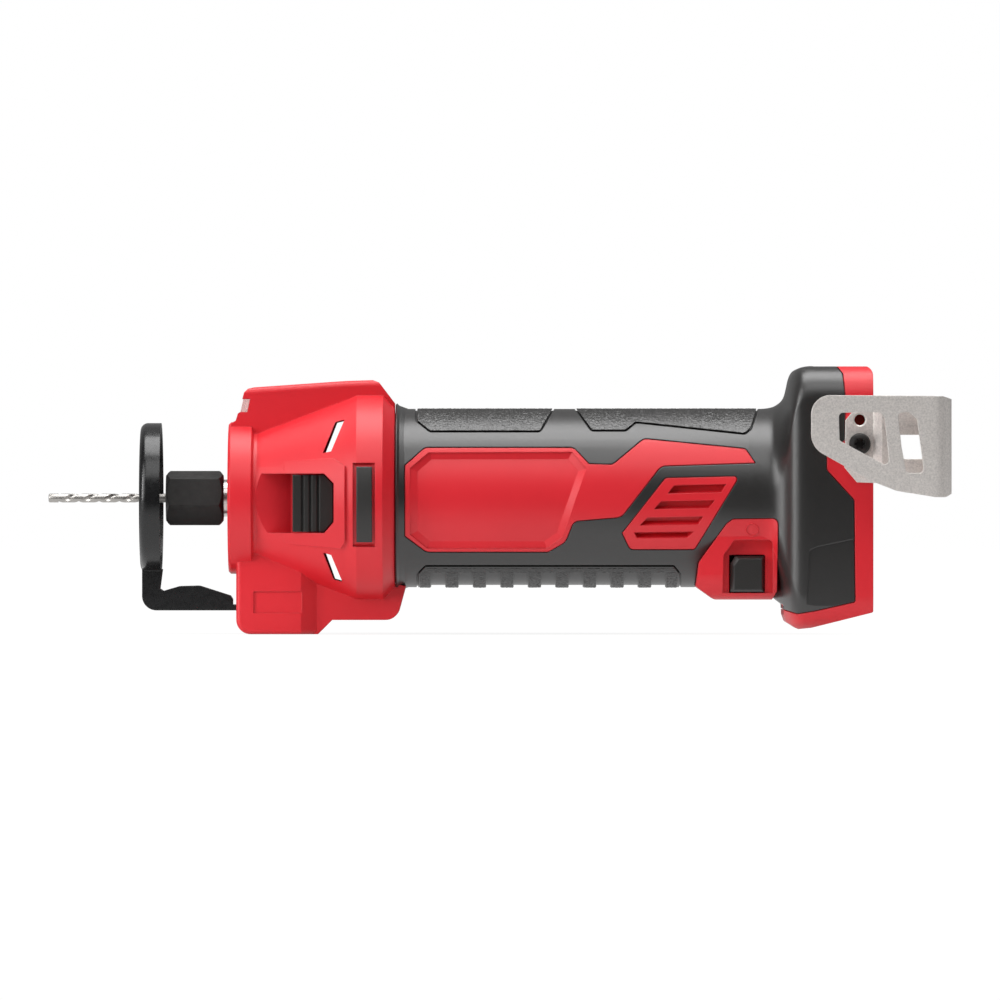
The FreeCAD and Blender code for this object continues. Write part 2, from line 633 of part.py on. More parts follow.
def make_grips(doc, dim, outer, inner, zones):
    """Both halves of the soft black overmould, with its pads, grooves and ribs."""
    grip = float(dim.grip_radius)
    front = -float(dim.grip_skin_front_ahead)
    lip = cone_shell([(front, 28), (front, 33.7), (front + 0.5, 34.1), (front + 1.3, 33.3), (front + 4.6, grip),
                      (front + 4.6, 28)])
    skin = outer.fuse(lip).cut([inner, zones, switch_pod(dim), rod(60, -200, front)])
    skin = skin.cut(rod(grip - float(dim.skin_thickness), front - 2, front + 8))
    skin = skin.cut(slab(LOWER_KEEL, -11.2, 11.2))
    grooves = [groove_ring(TEXTURE_FRONT, grip - 0.6, 0.7), groove_ring(TEXTURE_REAR, grip - 0.6, 0.7),
               groove_ring(RIB_PAD, grip - 0.5, 0.6)]
    pitch = 9.9
    valley = 5.1
    first_valley = -158.0
    under = rod(60, -200, 0).cut(rod(grip - 0.8, -200, 0))
    for number in range(9):
        x = first_valley + number * pitch
        grooves.append(under.common(block((x, x + valley), (-60, 60), (-60, -26.8))))
    facet_face = float(dim.block_half_width) - 0.5
    grooves += [slab(SIDE_FACET, facet_face, 60), slab(SIDE_FACET, -60, -facet_face)]
    for x, z in HOUSING_SCREWS:
        grooves.append(cross_rod(3.7, 0, 60, x, z))
    for side in (-1, 1):
        for height in (dim.clip_screw_height, dim.clip_spare_hole_height):
            low, high = sorted((side * 30, side * 60))
            grooves.append(cross_rod(float(dim.clip_insert_radius), low, high, -dim.clip_screw_ahead, height))
    for groove in grooves:
        skin = skin.cut(groove)
    piece(doc, "left_grip", skin.common(block((-300, 50), (-90, 0), (-90, 90))))
    piece(doc, "right_grip", skin.common(block((-300, 50), (0, 90), (-90, 90))))


def make_housing_screws(doc):
    """The clamshell's pan-head screws, as one group."""
    screws = []
    for x, z in HOUSING_SCREWS:
        depth = screw_head_depth(x)
        shank = cross_rod(1.75, -9.0, depth, x, z)
        head = cross_rod(3.2, depth, depth + 2.4, x, z)
        socket = cross_rod(1.3, depth + 1.0, depth + 3, x, z)
        screws.append(shank.fuse(head).cut(socket))
    piece(doc, "housing_screws", Part.makeCompound(screws))


# Nose housing

def nose_outer_profile(dim):
    """Corners of the nose's outside, solid to the axis, as (x, radius)."""
    front = -dim.nose_front_ahead
    rear = -dim.nose_rear_ahead
    return [(front, 0.0), (front, dim.collar_radius - 0.8), (front + 0.8, dim.collar_radius),
            (-dim.collar_rear_ahead, dim.collar_radius),
            (-dim.collar_rear_ahead + 0.8, dim.flare_front_radius),
            (-dim.flare_front_ahead, dim.flare_front_radius),
            (-dim.flare_rear_ahead, dim.flare_rear_radius),
            (-dim.band_front_ahead, dim.band_radius), (-dim.band_rear_ahead, dim.band_radius),
            (rear, dim.nose_rear_radius), (rear, dim.spigot_radius),
            (rear + 5.0, dim.spigot_radius), (rear + 5.0, 0.0)]


def nose_cavity_profile(dim):
    """Corners of the hollow between the shell and the bearing boss, open at the rear."""
    wall = dim.nose_wall
    rear = -dim.nose_rear_ahead
    boss_end = -dim.front_bearing_ahead + dim.bearing_width
    front_wall = -dim.nose_front_ahead + 6.6
    return [(front_wall, dim.boss_radius), (front_wall, dim.flare_front_radius - wall),
            (-dim.flare_front_ahead + 1.0, dim.flare_front_radius - wall),
            (-dim.flare_rear_ahead + 0.6, dim.flare_rear_radius - wall),
            (-dim.band_front_ahead + 0.6, dim.band_radius - wall),
            (-dim.band_rear_ahead - 1.2, dim.band_radius - wall),
            (rear - 1.6, dim.spigot_radius - 2.0), (rear + 6.0, dim.spigot_radius - 2.0),
            (rear + 6.0, 0.0), (boss_end, 0.0), (boss_end, dim.boss_radius)]


def nose_bore_profile(dim):
    """Corners of the front recess, the spindle's hole and the front bearing's seat."""
    front = -dim.nose_front_ahead
    seat = -dim.front_bearing_ahead
    return [(front - 1.0, 0.0), (front - 1.0, 23.4), (front + 3.6, 23.4), (front + 3.6, 8.0), (seat, 8.0),
            (seat, dim.bearing_outer_radius), (seat + dim.bearing_width + 1.0, dim.bearing_outer_radius),
            (seat + dim.bearing_width + 1.0, 0.0)]


def make_nose_form(doc, dim):
    """The nose's main form: a turned shell with a keel above and a wider one below."""
    body = new_body(doc, "nose_form")
    turn(body, nose_outer_profile(dim), "nose_outside")
    keel = bound_sketch(body, "XZ_Plane", UPPER_KEEL, "upper_keel_outline")
    extrude(body, keel, dim.upper_keel_width, "upper_keel", sides="Symmetric")
    front_half = dim.lower_keel_front_width / 2
    rear_half = dim.lower_keel_rear_width / 2
    lower = bound_sketch(body, "XY_Plane", [(-227.9, -front_half), (-204.6, -front_half), (-199.0, -rear_half),
                                            (-199.0, rear_half), (-204.6, front_half), (-227.9, front_half)],
                         "front_keel_plan")
    lower.AttachmentOffset = FreeCAD.Placement(Vector(0, 0, -20), FreeCAD.Rotation())
    extrude(body, lower, 28.9, "lower_keel_front", backwards=True)
    rear = bound_sketch(body, "XZ_Plane", LOWER_KEEL, "lower_keel_outline")
    extrude(body, rear, dim.lower_keel_rear_width, "lower_keel_rear", sides="Symmetric")
    doc.recompute()
    top_side = float(dim.upper_keel_width) / 2

    def on_corner(edge, middle):
        across = abs(edge.tangentAt(edge.FirstParameter).y) > 0.99
        return across and middle.z < -43 and (middle.x < -227 or middle.x > -171)

    def on_top_edge(edge, middle):
        return edge.Length > 4 and abs(abs(middle.y) - top_side) < 0.01 and middle.z > 38.5

    def on_bottom_edge(edge, middle):
        along = edge.Length > 4 and abs(edge.tangentAt(edge.FirstParameter).y) < 0.8
        return along and middle.z < -48.8 and abs(middle.y) > 10

    dress(body, "Fillet", 5.2, on_corner, "keel_corners")
    doc.recompute()
    dress(body, "Fillet", 2.2, on_top_edge, "keel_top_rounds")
    doc.recompute()
    dress(body, "Fillet", 1.6, on_bottom_edge, "keel_bottom_rounds")
    turn(body, nose_cavity_profile(dim), "nose_hollow", kind="Groove")
    turn(body, nose_bore_profile(dim), "nose_bores", kind="Groove")
    doc.recompute()
    return body


def flare_solid(dim, grown):
    """The flare as a solid cone, grown outwards by a little."""
    return cone_shell([(-float(dim.flare_front_ahead), 0), (-float(dim.flare_front_ahead),
                       float(dim.flare_front_radius) + grown),
                       (-float(dim.flare_rear_ahead), float(dim.flare_rear_radius) + grown),
                       (-float(dim.flare_rear_ahead), 0)])


def nose_additions(dim):
    """The tub behind the spindle lock's pocket, and the raised flat that frames it."""
    tub = slab(POCKET_TUB, -60, -POCKET_FLOOR + 2.2).common(flare_solid(dim, 0.0))
    front = -float(dim.flare_front_ahead) + 8.0
    rear = -float(dim.flare_rear_ahead)
    slope = (dim.flare_rear_radius - dim.flare_front_radius) / (dim.flare_front_ahead - dim.flare_rear_ahead)
    start = float(dim.flare_front_radius) + 8.0 * float(slope)
    raised = cone_shell([(front, 0), (front, start), (rear, float(dim.flare_rear_radius) + FAIRING_HEIGHT),
                         (rear, 0)])
    bearer = slab(FAIRING, -60, -24).common(raised)
    return tub.fuse(bearer.cut(flare_solid(dim, -1.5)))


def pocket_cut(dim):
    """The pocket's room: a ramp that dives into the flare, then a level floor."""
    ramp = [(-222.0, -60), (-222.0, -25.4), (-208.2, -POCKET_FLOOR), (-190.0, -POCKET_FLOOR), (-190.0, -60)]
    room = plan(ramp, -20, 20)
    stem = cross_rod(float(dim.lock_hole_radius), -30, -15, -float(dim.lock_hole_ahead), 0)
    return room.common(slab(POCKET, -60, 0)).fuse(stem)


def strap_slot(dim):
    """The slot that the depth guide's strap slides in."""
    gap = float(dim.slot_clearance)
    half = float(dim.strap_half_width) + gap
    low = -float(dim.strap_bottom_below) - gap
    return block((-232, -176), (-half, half), (low, low + float(dim.strap_thickness) + 2 * gap))


def lever_recess(dim):
    """The notch in the lower keel's right side that the lock lever folds into."""
    x = -float(dim.lever_pin_ahead)
    y = float(dim.lever_pin_across)
    swing = Part.makeCylinder(4.0, LEVER_TOP - LEVER_BOTTOM + 0.7, Vector(x, y, LEVER_BOTTOM - 0.35))
    notch = block((x - 4.2, x + 19.8), (y - 1.5, 20), (LEVER_BOTTOM - 0.35, LEVER_TOP + 0.35))
    pin = Part.makeCylinder(float(dim.lever_pin_radius), 15.4, Vector(x, y, LEVER_BOTTOM - 3.0))
    return swing.fuse([notch, pin])


def nose_cutters(dim):
    """Everything that is cut out of the nose's form."""
    band_floor = rod(float(dim.band_radius) - 1.2, -200, -170)
    recess = slab(PAD_RECESS, -60, 60).cut(band_floor)
    slots = [slab(outline, -60, 60) for outline in SLOT_OUTLINES]
    side = float(dim.upper_keel_width)
    lamp_bay = block((-230.0, -223.0), (-side, side), (30.9, 35.6)).common(slab(LAMP_BAY, -side, side))
    lamp_bay = lamp_bay.fuse(block((-226.0, -220.5), (-5.0, 5.0), (30.9, 35.6)))
    plate = slab(BARE_PLATE, -20, 0.6 - float(dim.lower_keel_front_width) / 2)
    return [pocket_cut(dim), strap_slot(dim), lever_recess(dim), recess, lamp_bay, plate] + slots


def make_nose_housing(doc, dim):
    """The red nose: its form, the pocket's tub added, and everything cut from it."""
    form = make_nose_form(doc, dim)
    additions = doc.addObject("Part::Feature", "nose_tub")
    additions.Shape = nose_additions(dim)
    cutters = doc.addObject("Part::Feature", "nose_cutters")
    cutters.Shape = Part.makeCompound(nose_cutters(dim))
    whole = doc.addObject("Part::Fuse", "nose_whole")
    whole.Base = form
    whole.Tool = additions
    result = doc.addObject("Part::Cut", "nose_housing")
    result.Base = whole
    result.Tool = cutters
    result.Label = "nose_housing"


def make_side_pads(doc, dim):
    """The black rubber inserts in the band, one each side."""
    radius = float(dim.band_radius)
    ring = rod(radius + 0.5, -190, -172).cut(rod(radius - 1.2, -191, -171))
    left = slab(PAD_INSERT, -60, 0).common(ring)
    piece(doc, "left_side_pad", left)
    piece(doc, "right_side_pad", mirrored(left))


def make_work_light(doc):
    """The lens in the upper keel's front, and its board behind it."""
    piece(doc, "led_lens", slab(LENS, -9.4, 9.4))
    piece(doc, "led_board", block((-222.2, -220.6), (-4.9, 4.9), (31.0, 35.5)))


# Spindle line

def make_bit(doc, dim):
    """The guide-point cutting bit, gripped by the collet."""
    body = new_body(doc, "cutting_bit")
    tip = -dim.bit_tip_ahead
    radius = dim.bit_diameter / 2
    turn(body, [(tip, 0.0), (tip, radius * 0.5), (tip + 0.9, radius), (tip + dim.bit_length, radius),
                (tip + dim.bit_length, 0.0)], "bit_form")


def make_collet(doc, dim):
    """The slit sleeve that closes on the bit."""
    body = new_body(doc, "collet")
    grip = dim.bit_diameter / 2
    front = -dim.collet_nut_front_ahead + 1.1
    turn(body, [(front, grip), (front, 3.2), (front + 2.5, 4.9), (front + 5.3, 4.9), (front + 5.3, 4.4),
                (front + 22.3, 2.3), (front + 22.3, grip)], "collet_form")
    slit = bound_sketch(body, "XZ_Plane", [(front - 1.0, -0.3), (front + 18.0, -0.3), (front + 18.0, 0.3),
                                           (front - 1.0, 0.3)], "slit_outline")
    cut = extrude(body, slit, 8.0, "slit", kind="Pocket")
    polar(body, cut, 3, "slits")


def make_collet_nut(doc, dim):
    """The hexagon nut that draws the collet shut, its corners turned off at both ends."""
    body = new_body(doc, "collet_nut")
    corner = dim.collet_nut_across_flats / math.sqrt(3)
    front = -dim.collet_nut_front_ahead
    rear = front + dim.collet_nut_length
    turned = math.radians(14)
    hexagon = []
    for number in range(6):
        angle = turned + number * math.pi / 3
        hexagon.append((corner * math.sin(angle), corner * math.cos(angle)))
    sketch = bound_sketch(body, "YZ_Plane", hexagon, "hexagon")
    sketch.setExpression("AttachmentOffset.Base.z", formula_of(front))
    extrude(body, sketch, dim.collet_nut_length, "nut_form")
    flat = dim.collet_nut_across_flats / 2
    for name, end, step in (("front_turned_off", front, 1), ("rear_turned_off", rear, -1)):
        turn(body, [(end - 0.5 * step, flat - 1.0), (end - 0.5 * step, corner + 2.0),
                    (end + 2.2 * step, corner + 2.0), (end + 1.6 * step, corner + 0.1),
                    (end, flat - 0.6)], name, kind="Groove")
    turn(body, [(front - 1.0, 0.0), (front - 1.0, 3.4), (front, 3.4), (front + 3.6, 5.2), (front + 6.6, 5.2),
                (front + 6.6, 6.0), (rear + 1.0, 6.0), (rear + 1.0, 0.0)], "nut_bore", kind="Groove")


def make_shaft(doc, dim):
    """The armature shaft, whose threaded nose takes the collet."""
    body = new_body(doc, "armature_shaft")
    nose = -dim.spindle_nose_front_ahead
    rear_end = -dim.rear_bearing_ahead + 8.0
    step = -dim.front_bearing_ahead - 1.2
    turn(body, [(nose - 13.6, 4.6), (nose - 13.6, 6.0), (nose, 6.0), (nose, dim.spindle_nose_radius),
                (step, dim.spindle_nose_radius), (step, dim.shaft_radius), (rear_end, dim.shaft_radius),
                (rear_end, 0.0), (nose + 5.0, 0.0), (nose + 5.0, 2.4)], "shaft_form")


def make_lock_collar(doc, dim):
    """The collar on the shaft with four radial holes for the spindle lock's pin."""
    body = new_body(doc, "spindle_lock_collar")
    front = -dim.lock_collar_ahead
    turn(body, [(front, dim.shaft_radius), (front, dim.lock_collar_radius - 0.8),
                (front + 0.8, dim.lock_collar_radius),
                (front + dim.lock_collar_length - 0.8, dim.lock_collar_radius),
                (front + dim.lock_collar_length, dim.lock_collar_radius - 0.8),
                (front + dim.lock_collar_length, dim.shaft_radius)], "collar_form")
    hole = circle_sketch(body, "XZ_Plane", -dim.lock_hole_ahead, 0.0, dim.lock_hole_radius, "lock_hole_circle")
    cut = extrude(body, hole, 20.0, "lock_hole", kind="Pocket")
    polar(body, cut, 4, "lock_holes")


def make_bearing(doc, dim, name, ahead, outer):
    """A ball bearing, as its rings with the shields set back between them."""
    body = new_body(doc, name)
    front = -ahead
    rear = front + dim.bearing_width
    bore = dim.shaft_radius + dim.bearing_clearance
    turn(body, [(front, bore), (front, bore + 1.6), (front + 0.5, bore + 1.6), (front + 0.5, outer - 1.6),
                (front, outer - 1.6), (front, outer), (rear, outer), (rear, outer - 1.6),
                (rear - 0.5, outer - 1.6), (rear - 0.5, bore + 1.6), (rear, bore + 1.6), (rear, bore)],
         name + "_form")


def make_fan(doc, dim):
    """The cooling fan that blows the motor's air out through the nose slots."""
    body = new_body(doc, "cooling_fan")
    front = -dim.fan_front_ahead
    back = front + 8.0
    turn(body, [(front, dim.shaft_radius), (front, 9.0), (back - 1.4, 9.0), (back - 1.4, dim.fan_radius),
                (back, dim.fan_radius), (back, dim.shaft_radius)], "fan_form")
    blade = bound_sketch(body, "YZ_Plane", [(-0.7, 8.0), (0.7, 8.0), (4.2, dim.fan_radius - 0.6),
                                            (2.8, dim.fan_radius - 0.6)], "blade_section")
    blade.setExpression("AttachmentOffset.Base.z", formula_of(front + 0.6))
    pad = extrude(body, blade, 6.4, "blade")
    polar(body, pad, 12, "blades")


def make_rotor(doc, dim):
    """The armature's iron, its copper end turns and its commutator."""
    front = -dim.motor_front_ahead
    ring_bar(doc, "rotor_core", dim.rotor_radius, dim.shaft_radius, front + 8.0, 42.0)
    ring_bar(doc, "commutator", 8.0, dim.shaft_radius, front + 60.0, 14.0)
    turns = []
    for start in (front + 3.0, front + 50.0):
        turns.append(cone_shell([(start, 6), (start, 14), (start + 1.5, 16.5), (start + 3.5, 16.5),
                                 (start + 5.0, 14), (start + 5.0, 6)]))
    piece(doc, "windings", Part.makeCompound(turns))


def make_motor_frame(doc, dim):
    """The motor's steel can, its magnets, and the end bell with the rear bearing's seat."""
    front = -dim.motor_front_ahead
    rear = front + dim.motor_length
    body = new_body(doc, "motor_can")
    turn(body, [(front, 7.0), (front, dim.motor_radius), (rear, dim.motor_radius),
                (rear, dim.motor_radius - 1.8), (front + 1.8, dim.motor_radius - 1.8), (front + 1.8, 7.0)],
         "can_form")
    magnet_outer = float(dim.motor_radius) - 1.8
    ring = rod(magnet_outer, front + 6, front + 52).cut(rod(magnet_outer - 3.6, front + 5, front + 53))
    gaps = [block((-200, -80), (-2.5, 2.5), (-40, 40)), block((-200, -80), (-40, 40), (-2.5, 2.5))]
    arcs = ring.cut(gaps)
    arcs.rotate(Vector(0, 0, 0), ALONG_X, 45)
    piece(doc, "magnets", arcs)
    seat = -dim.rear_bearing_ahead
    bell = new_body(doc, "motor_end_bell")
    cavity = dim.grip_radius - dim.skin_thickness - dim.housing_wall
    turn(bell, [(rear, 13.0), (rear, cavity), (rear + 3.8, cavity), (rear + 3.8, 16.5),
                (seat + 7.5, 16.5), (seat + 7.5, dim.rear_bearing_radius), (seat, dim.rear_bearing_radius),
                (seat, 6.0), (seat - 2.0, 6.0), (seat - 2.0, 13.0)], "bell_form")


def make_brushes(doc):
    """Two carbon brushes in their brass holders, either side of the commutator."""
    holders = []
    brushes = []
    for side in (-1, 1):
        low, high = sorted((side * 8.8, side * 12.3))
        outside = block((-100.5, -92.5), (low, high), (-3.6, 3.6))
        holders.append(outside.cut(block((-98.5, -94.5), (low - 1, high + 1), (-2.6, 2.6))))
        low, high = sorted((side * 8.15, side * 12.0))
        brushes.append(block((-98.5, -94.5), (low, high), (-2.6, 2.6)))
    piece(doc, "brush_holders", Part.makeCompound(holders))
    piece(doc, "carbon_brushes", Part.makeCompound(brushes))


# Electrics

def make_electrics(doc):
    """Terminal block with its blades in the battery bay, the board and the switch."""
    shell = plan([(-16.0, -13.0), (-6.5, -13.0, 1.5), (-6.5, 13.0, 1.5), (-16.0, 13.0)], -8, 20)
    slots = [block((-14.0, -6.0), (y - 1.1, y + 1.1), (-9, 16)) for y in BLADE_ROWS]
    roots = [block((-16.5, -13.5), (y - 0.4, y + 0.4), (-3, 13)) for y in BLADE_ROWS]
    piece(doc, "terminal_block", shell.cut(slots + roots))
    blades = [block((-24.0, -8.6), (y - 0.4, y + 0.4), (-3, 13)) for y in BLADE_ROWS]
    piece(doc, "battery_terminals", Part.makeCompound(blades))
    board = block((-25.6, -24.0), (-18.5, 18.5), (-17.0, 19.0))
    piece(doc, "control_board", board)
    piece(doc, "capacitor", rod(5.0, -37.6, -25.6, 10.0, 10.0))
    piece(doc, "motor_controller", block(CONTROLLER_SPAN, (-16, 16), (-17, 9)))
    slider_room = block((-48.2, -41.4), (-20, 20), (-30.6, -23.7))
    case = block((-51.1, -38.5), (-10.0, 10.0), (-33.9, -12.0))
    piece(doc, "switch_body", case.cut(slider_room))


# Belt clip

def make_belt_clip(doc, dim):
    """The belt hook: one steel strap, screwed on, stepped out and folded back on itself."""
    thick = float(dim.clip_thickness)
    fold = float(dim.clip_fold_radius)
    face = -float(dim.block_half_width)
    step = 4.0
    fold_x = 21.5
    inner_strip = plan([(-12, face), (0.6, face), (3.6, face - step), (fold_x, face - step),
                        (fold_x, face - step - thick), (2.9, face - step - thick), (-0.1, face - thick),
                        (-12, face - thick)], -5, 45)
    fold_y = face - step - fold
    fold_ring = Part.makeCylinder(fold, 60, Vector(fold_x, fold_y, -10))
    fold_ring = fold_ring.cut(Part.makeCylinder(fold - thick, 60, Vector(fold_x, fold_y, -10)))
    fold_ring = fold_ring.common(block((fold_x, 40), (-90, 0), (-20, 60)))
    fold_outline = [(fold_x, 36.2), (24.3, 36.2, 1), (27.7, 35.1), (27.7, 1.7), (25.4, 0.3, 1), (fold_x, 0.3)]
    outer_face = fold_y - fold
    outer_leg = slab(CLIP_OUTER_LEG, outer_face, outer_face + thick).common(
        block((-40, fold_x), (-90, 0), (-20, 60)))
    outer_leg = outer_leg.cut([slab(CLIP_WINDOW, -90, 0), slab(CLIP_HOOK_SLOT, -90, 0)])
    inner_leg = inner_strip.common(slab(CLIP_INNER_LEG, -90, 0))
    x = -float(dim.clip_screw_ahead)
    inner_leg = inner_leg.cut([slab(CLIP_INNER_HOLE, -90, 0),
                               cross_rod(2.1, -60, -30, x, float(dim.clip_screw_height)),
                               cross_rod(1.9, -60, -30, x, float(dim.clip_spare_hole_height)),
                               Part.makeCone(1.9, 2.5, 0.6, Vector(x, face - thick + 0.5,
                                                                   float(dim.clip_spare_hole_height)), -ALONG_Y)])
    bend = fold_ring.common(slab(fold_outline, -90, 0))
    piece(doc, "belt_clip", outer_leg.fuse([inner_leg, bend]))


def make_clip_screw(doc, dim):
    """The clip's pan-head screw, with a six-lobed socket."""
    face = -float(dim.block_half_width) - float(dim.clip_thickness)
    x = -float(dim.clip_screw_ahead)
    z = float(dim.clip_screw_height)
    profile = [(0, -7.5), (2.0, -7.5), (2.0, 0), (3.85, 0), (3.85, 1.2), (3.3, 2.0), (2.2, 2.5), (0, 2.6)]
    wire = outline_wire(profile, lambda r, out: Vector(x + r, face - out, z))
    screw = Part.Face(wire).revolve(Vector(x, 0, z), ALONG_Y, 360)
    socket = [cross_rod(1.4, face - 5, face - 0.8, x, z)]
    for number in range(6):
        angle = number * math.pi / 3
        socket.append(cross_rod(0.5, face - 5, face - 0.8, x + 1.5 * math.cos(angle),
                                z + 1.5 * math.sin(angle)))
    piece(doc, "belt_clip_screw", screw.cut(socket))


def make_clip_inserts(doc, dim):
    """Threaded brass inserts, two each side, so that the clip fits either side."""
    inserts = []
    length = float(dim.clip_insert_length)
    face = float(dim.block_half_width)
    for side in (-1, 1):
        low, high = sorted((side * (face - length), side * face))
        for height in (float(dim.clip_screw_height), float(dim.clip_spare_hole_height)):
            x = -float(dim.clip_screw_ahead)
            outside = cross_rod(float(dim.clip_insert_radius), low, high, x, height)
            inserts.append(outside.cut(cross_rod(float(dim.clip_thread_radius), low - 1, high + 1, x, height)))
    piece(doc, "clip_inserts", Part.makeCompound(inserts))


# Depth guide and its lock

def make_depth_guide(doc, dim):
    """The foot ring and its bracket: a flanged ring on an L-shaped channel with a flat tail."""
    front = -float(dim.foot_front_ahead)
    rear = front + float(dim.foot_depth)
    radius = float(dim.foot_radius)
    plate = front + float(dim.foot_plate)
    ring = cone_shell([(front, float(dim.foot_hole_radius)), (front, radius, 2.6), (rear, radius),
                       (rear, radius - 1.9), (plate, radius - 1.9), (plate, float(dim.foot_hole_radius))])
    half = float(dim.strap_half_width)
    thick = float(dim.strap_thickness)
    low = -float(dim.strap_bottom_below)
    channel = slab(GUSSET, -half, half)
    inside = [(-259.8, -20.0), (-240.0, -20.0), (-225.0, -34.0), (-225.0, low + thick),
              (-259.8, low + thick, 3.1)]
    hollow = slab(inside, -half + thick, half - thick)
    tail = block((-229.6, -float(dim.strap_tail_ahead)), (-half, half), (low, low + thick))
    opening = rod(radius - 1.9, plate, rear + 10)
    guide = ring.fuse([channel.cut(hollow).cut(opening), tail])
    piece(doc, "depth_guide", guide.removeSplitter())


def make_lock_lever(doc, dim):
    """The lever that clamps the depth guide, with its cam barrel, on a steel pin."""
    x = -float(dim.lever_pin_ahead)
    y = float(dim.lever_pin_across)
    height = LEVER_TOP - LEVER_BOTTOM
    barrel = Part.makeCylinder(3.6, height, Vector(x, y, LEVER_BOTTOM))
    paddle = plan([(x, y + 3.5), (x + 17.0, y + 3.5, 1), (x + 19.2, y + 2.4, 0.8), (x + 19.2, y + 0.6, 0.4),
                   (x + 5.0, y - 0.8, 1), (x, y - 2.0)], LEVER_BOTTOM, LEVER_TOP)
    ribs = [Part.makeCylinder(0.5, height - 2, Vector(x + 9.0 + 2.4 * number, y + 3.5, LEVER_BOTTOM + 1))
            for number in range(4)]
    grooved = barrel.fuse(paddle).cut(ribs)
    bore = Part.makeCylinder(float(dim.lever_pin_radius) + 0.06, height + 2, Vector(x, y, LEVER_BOTTOM - 1))
    piece(doc, "depth_lock_lever", grooved.cut(bore))
    pin = doc.addObject("Part::Cylinder", "lock_lever_pin")
    bind(pin, "Radius", dim.lever_pin_radius)
    pin.Height = 15.0
    pin.Placement = FreeCAD.Placement(Vector(x, y, LEVER_BOTTOM - 2.8), FreeCAD.Rotation())
    pin.setExpression("Placement.Base.x", formula_of(-dim.lever_pin_ahead))
    pin.Label = "lock_lever_pin"


# Moving buttons

def make_lock_button(doc, dim):
    """The spindle lock's ribbed push button."""
    body = new_body(doc, "spindle_lock_button")
    face = bound_sketch(body, "XZ_Plane", LOCK_BUTTON, "button_outline")
    face.AttachmentOffset = FreeCAD.Placement(Vector(0, 0, LOCK_BUTTON_BACK), FreeCAD.Rotation())
    extrude(body, face, LOCK_BUTTON_FACE - LOCK_BUTTON_BACK, "button_block")
    first = LOCK_BUTTON[0][0] + 3.1
    groove = bound_sketch(body, "XY_Plane", [(first, -LOCK_BUTTON_FACE - 1), (first, -LOCK_BUTTON_FACE + 0.9),
                                             (first + 0.9, -LOCK_BUTTON_FACE + 0.9),
                                             (first + 0.9, -LOCK_BUTTON_FACE - 1)], "groove_section")
    cut = extrude(body, groove, 40.0, "groove", kind="Pocket", sides="Symmetric")
    axis = next(item for item in body.Origin.OriginFeatures if item.Role == "X_Axis")
    row = body.newObject("PartDesign::LinearPattern", "grooves")
    row.Originals = [cut]
    row.Direction = (axis, [""])
    row.Length = 5.6
    row.Occurrences = 3
    body.Tip = row
    pin = doc.addObject("Part::Cylinder", "spindle_lock_pin")
    bind(pin, "Radius", dim.lock_hole_radius - 0.4)
    bind(pin, "Height", LOCK_BUTTON_BACK - dim.lock_collar_radius - 1.2)
    pin.Placement = FreeCAD.Placement(Vector(-dim.lock_hole_ahead, -LOCK_BUTTON_BACK, 0),
                                      FreeCAD.Rotation(ALONG_X, -90))
    pin.setExpression("Placement.Base.x", formula_of(-dim.lock_hole_ahead))
    pin.Label = "spindle_lock_pin"


def make_power_button(doc):
    """The push-through on-off button: a cap each side, joined by a slider."""
    slider = block((-47.9, -41.7), (-20, 24), (-30.3, -24.0))
    caps = []
    for y_face, y_back in ((-28.0, -18.0), (32.0, 22.0)):
        out = -1 if y_face < 0 else 1
        cap = slab(BUTTON_CAP, *sorted((y_face - out * 1.2, y_back)))
        crown = Part.makeLoft([outline_wire(BUTTON_CAP, lambda x, z, y=y_face - out * 1.2: Vector(x, y, z)),
                               outline_wire(BUTTON_FACE, lambda x, z, y=y_face: Vector(x, y, z))], True, True)
        caps.append(cap.fuse(crown))
    piece(doc, "power_button", slider.fuse(caps).removeSplitter())


# The names of all sub-parts; each is written to a file of its own.
SUB_PARTS = [
    "left_housing", "right_housing", "left_grip", "right_grip", "housing_screws", "nose_housing",
    "left_side_pad", "right_side_pad", "led_lens", "led_board", "motor_can", "magnets", "motor_end_bell",
    "brush_holders", "carbon_brushes", "front_bearing", "rear_bearing", "terminal_block",
    "battery_terminals", "control_board", "motor_controller", "capacitor", "switch_body", "belt_clip", "belt_clip_screw",
    "clip_inserts", "lock_lever_pin", "armature_shaft", "rotor_core", "windings", "commutator",
    "cooling_fan", "spindle_lock_collar", "collet", "collet_nut", "cutting_bit", "depth_guide",
    "depth_lock_lever", "spindle_lock_button", "spindle_lock_pin", "power_button",
]


def check_and_write(doc):
    """Stops on any failed object, then writes one file for each sub-part."""
    for item in doc.Objects:
        if "Invalid" in item.State or "Error" in item.State:
            raise RuntimeError(f"{item.Name} failed: {item.State}")
    parts = {item.Label: item for item in doc.Objects if item.Label in SUB_PARTS and hasattr(item, "Shape")}
    missing = [name for name in SUB_PARTS if name not in parts]
    if missing:
        raise RuntimeError(f"missing sub-parts: {missing}")
    for name in SUB_PARTS:
        shape = parts[name].Shape
        if shape.isNull() or not shape.isValid() or not shape.Solids:
            raise RuntimeError(f"{name} has no valid solid")
    os.makedirs("parts", exist_ok=True)
    for name in SUB_PARTS:
        shape = parts[name].Shape
        shape.exportStep(f"parts/{name}.step")
        print(f"{name}: {len(shape.Solids)} solid(s), {shape.Volume:.0f} cubic mm")


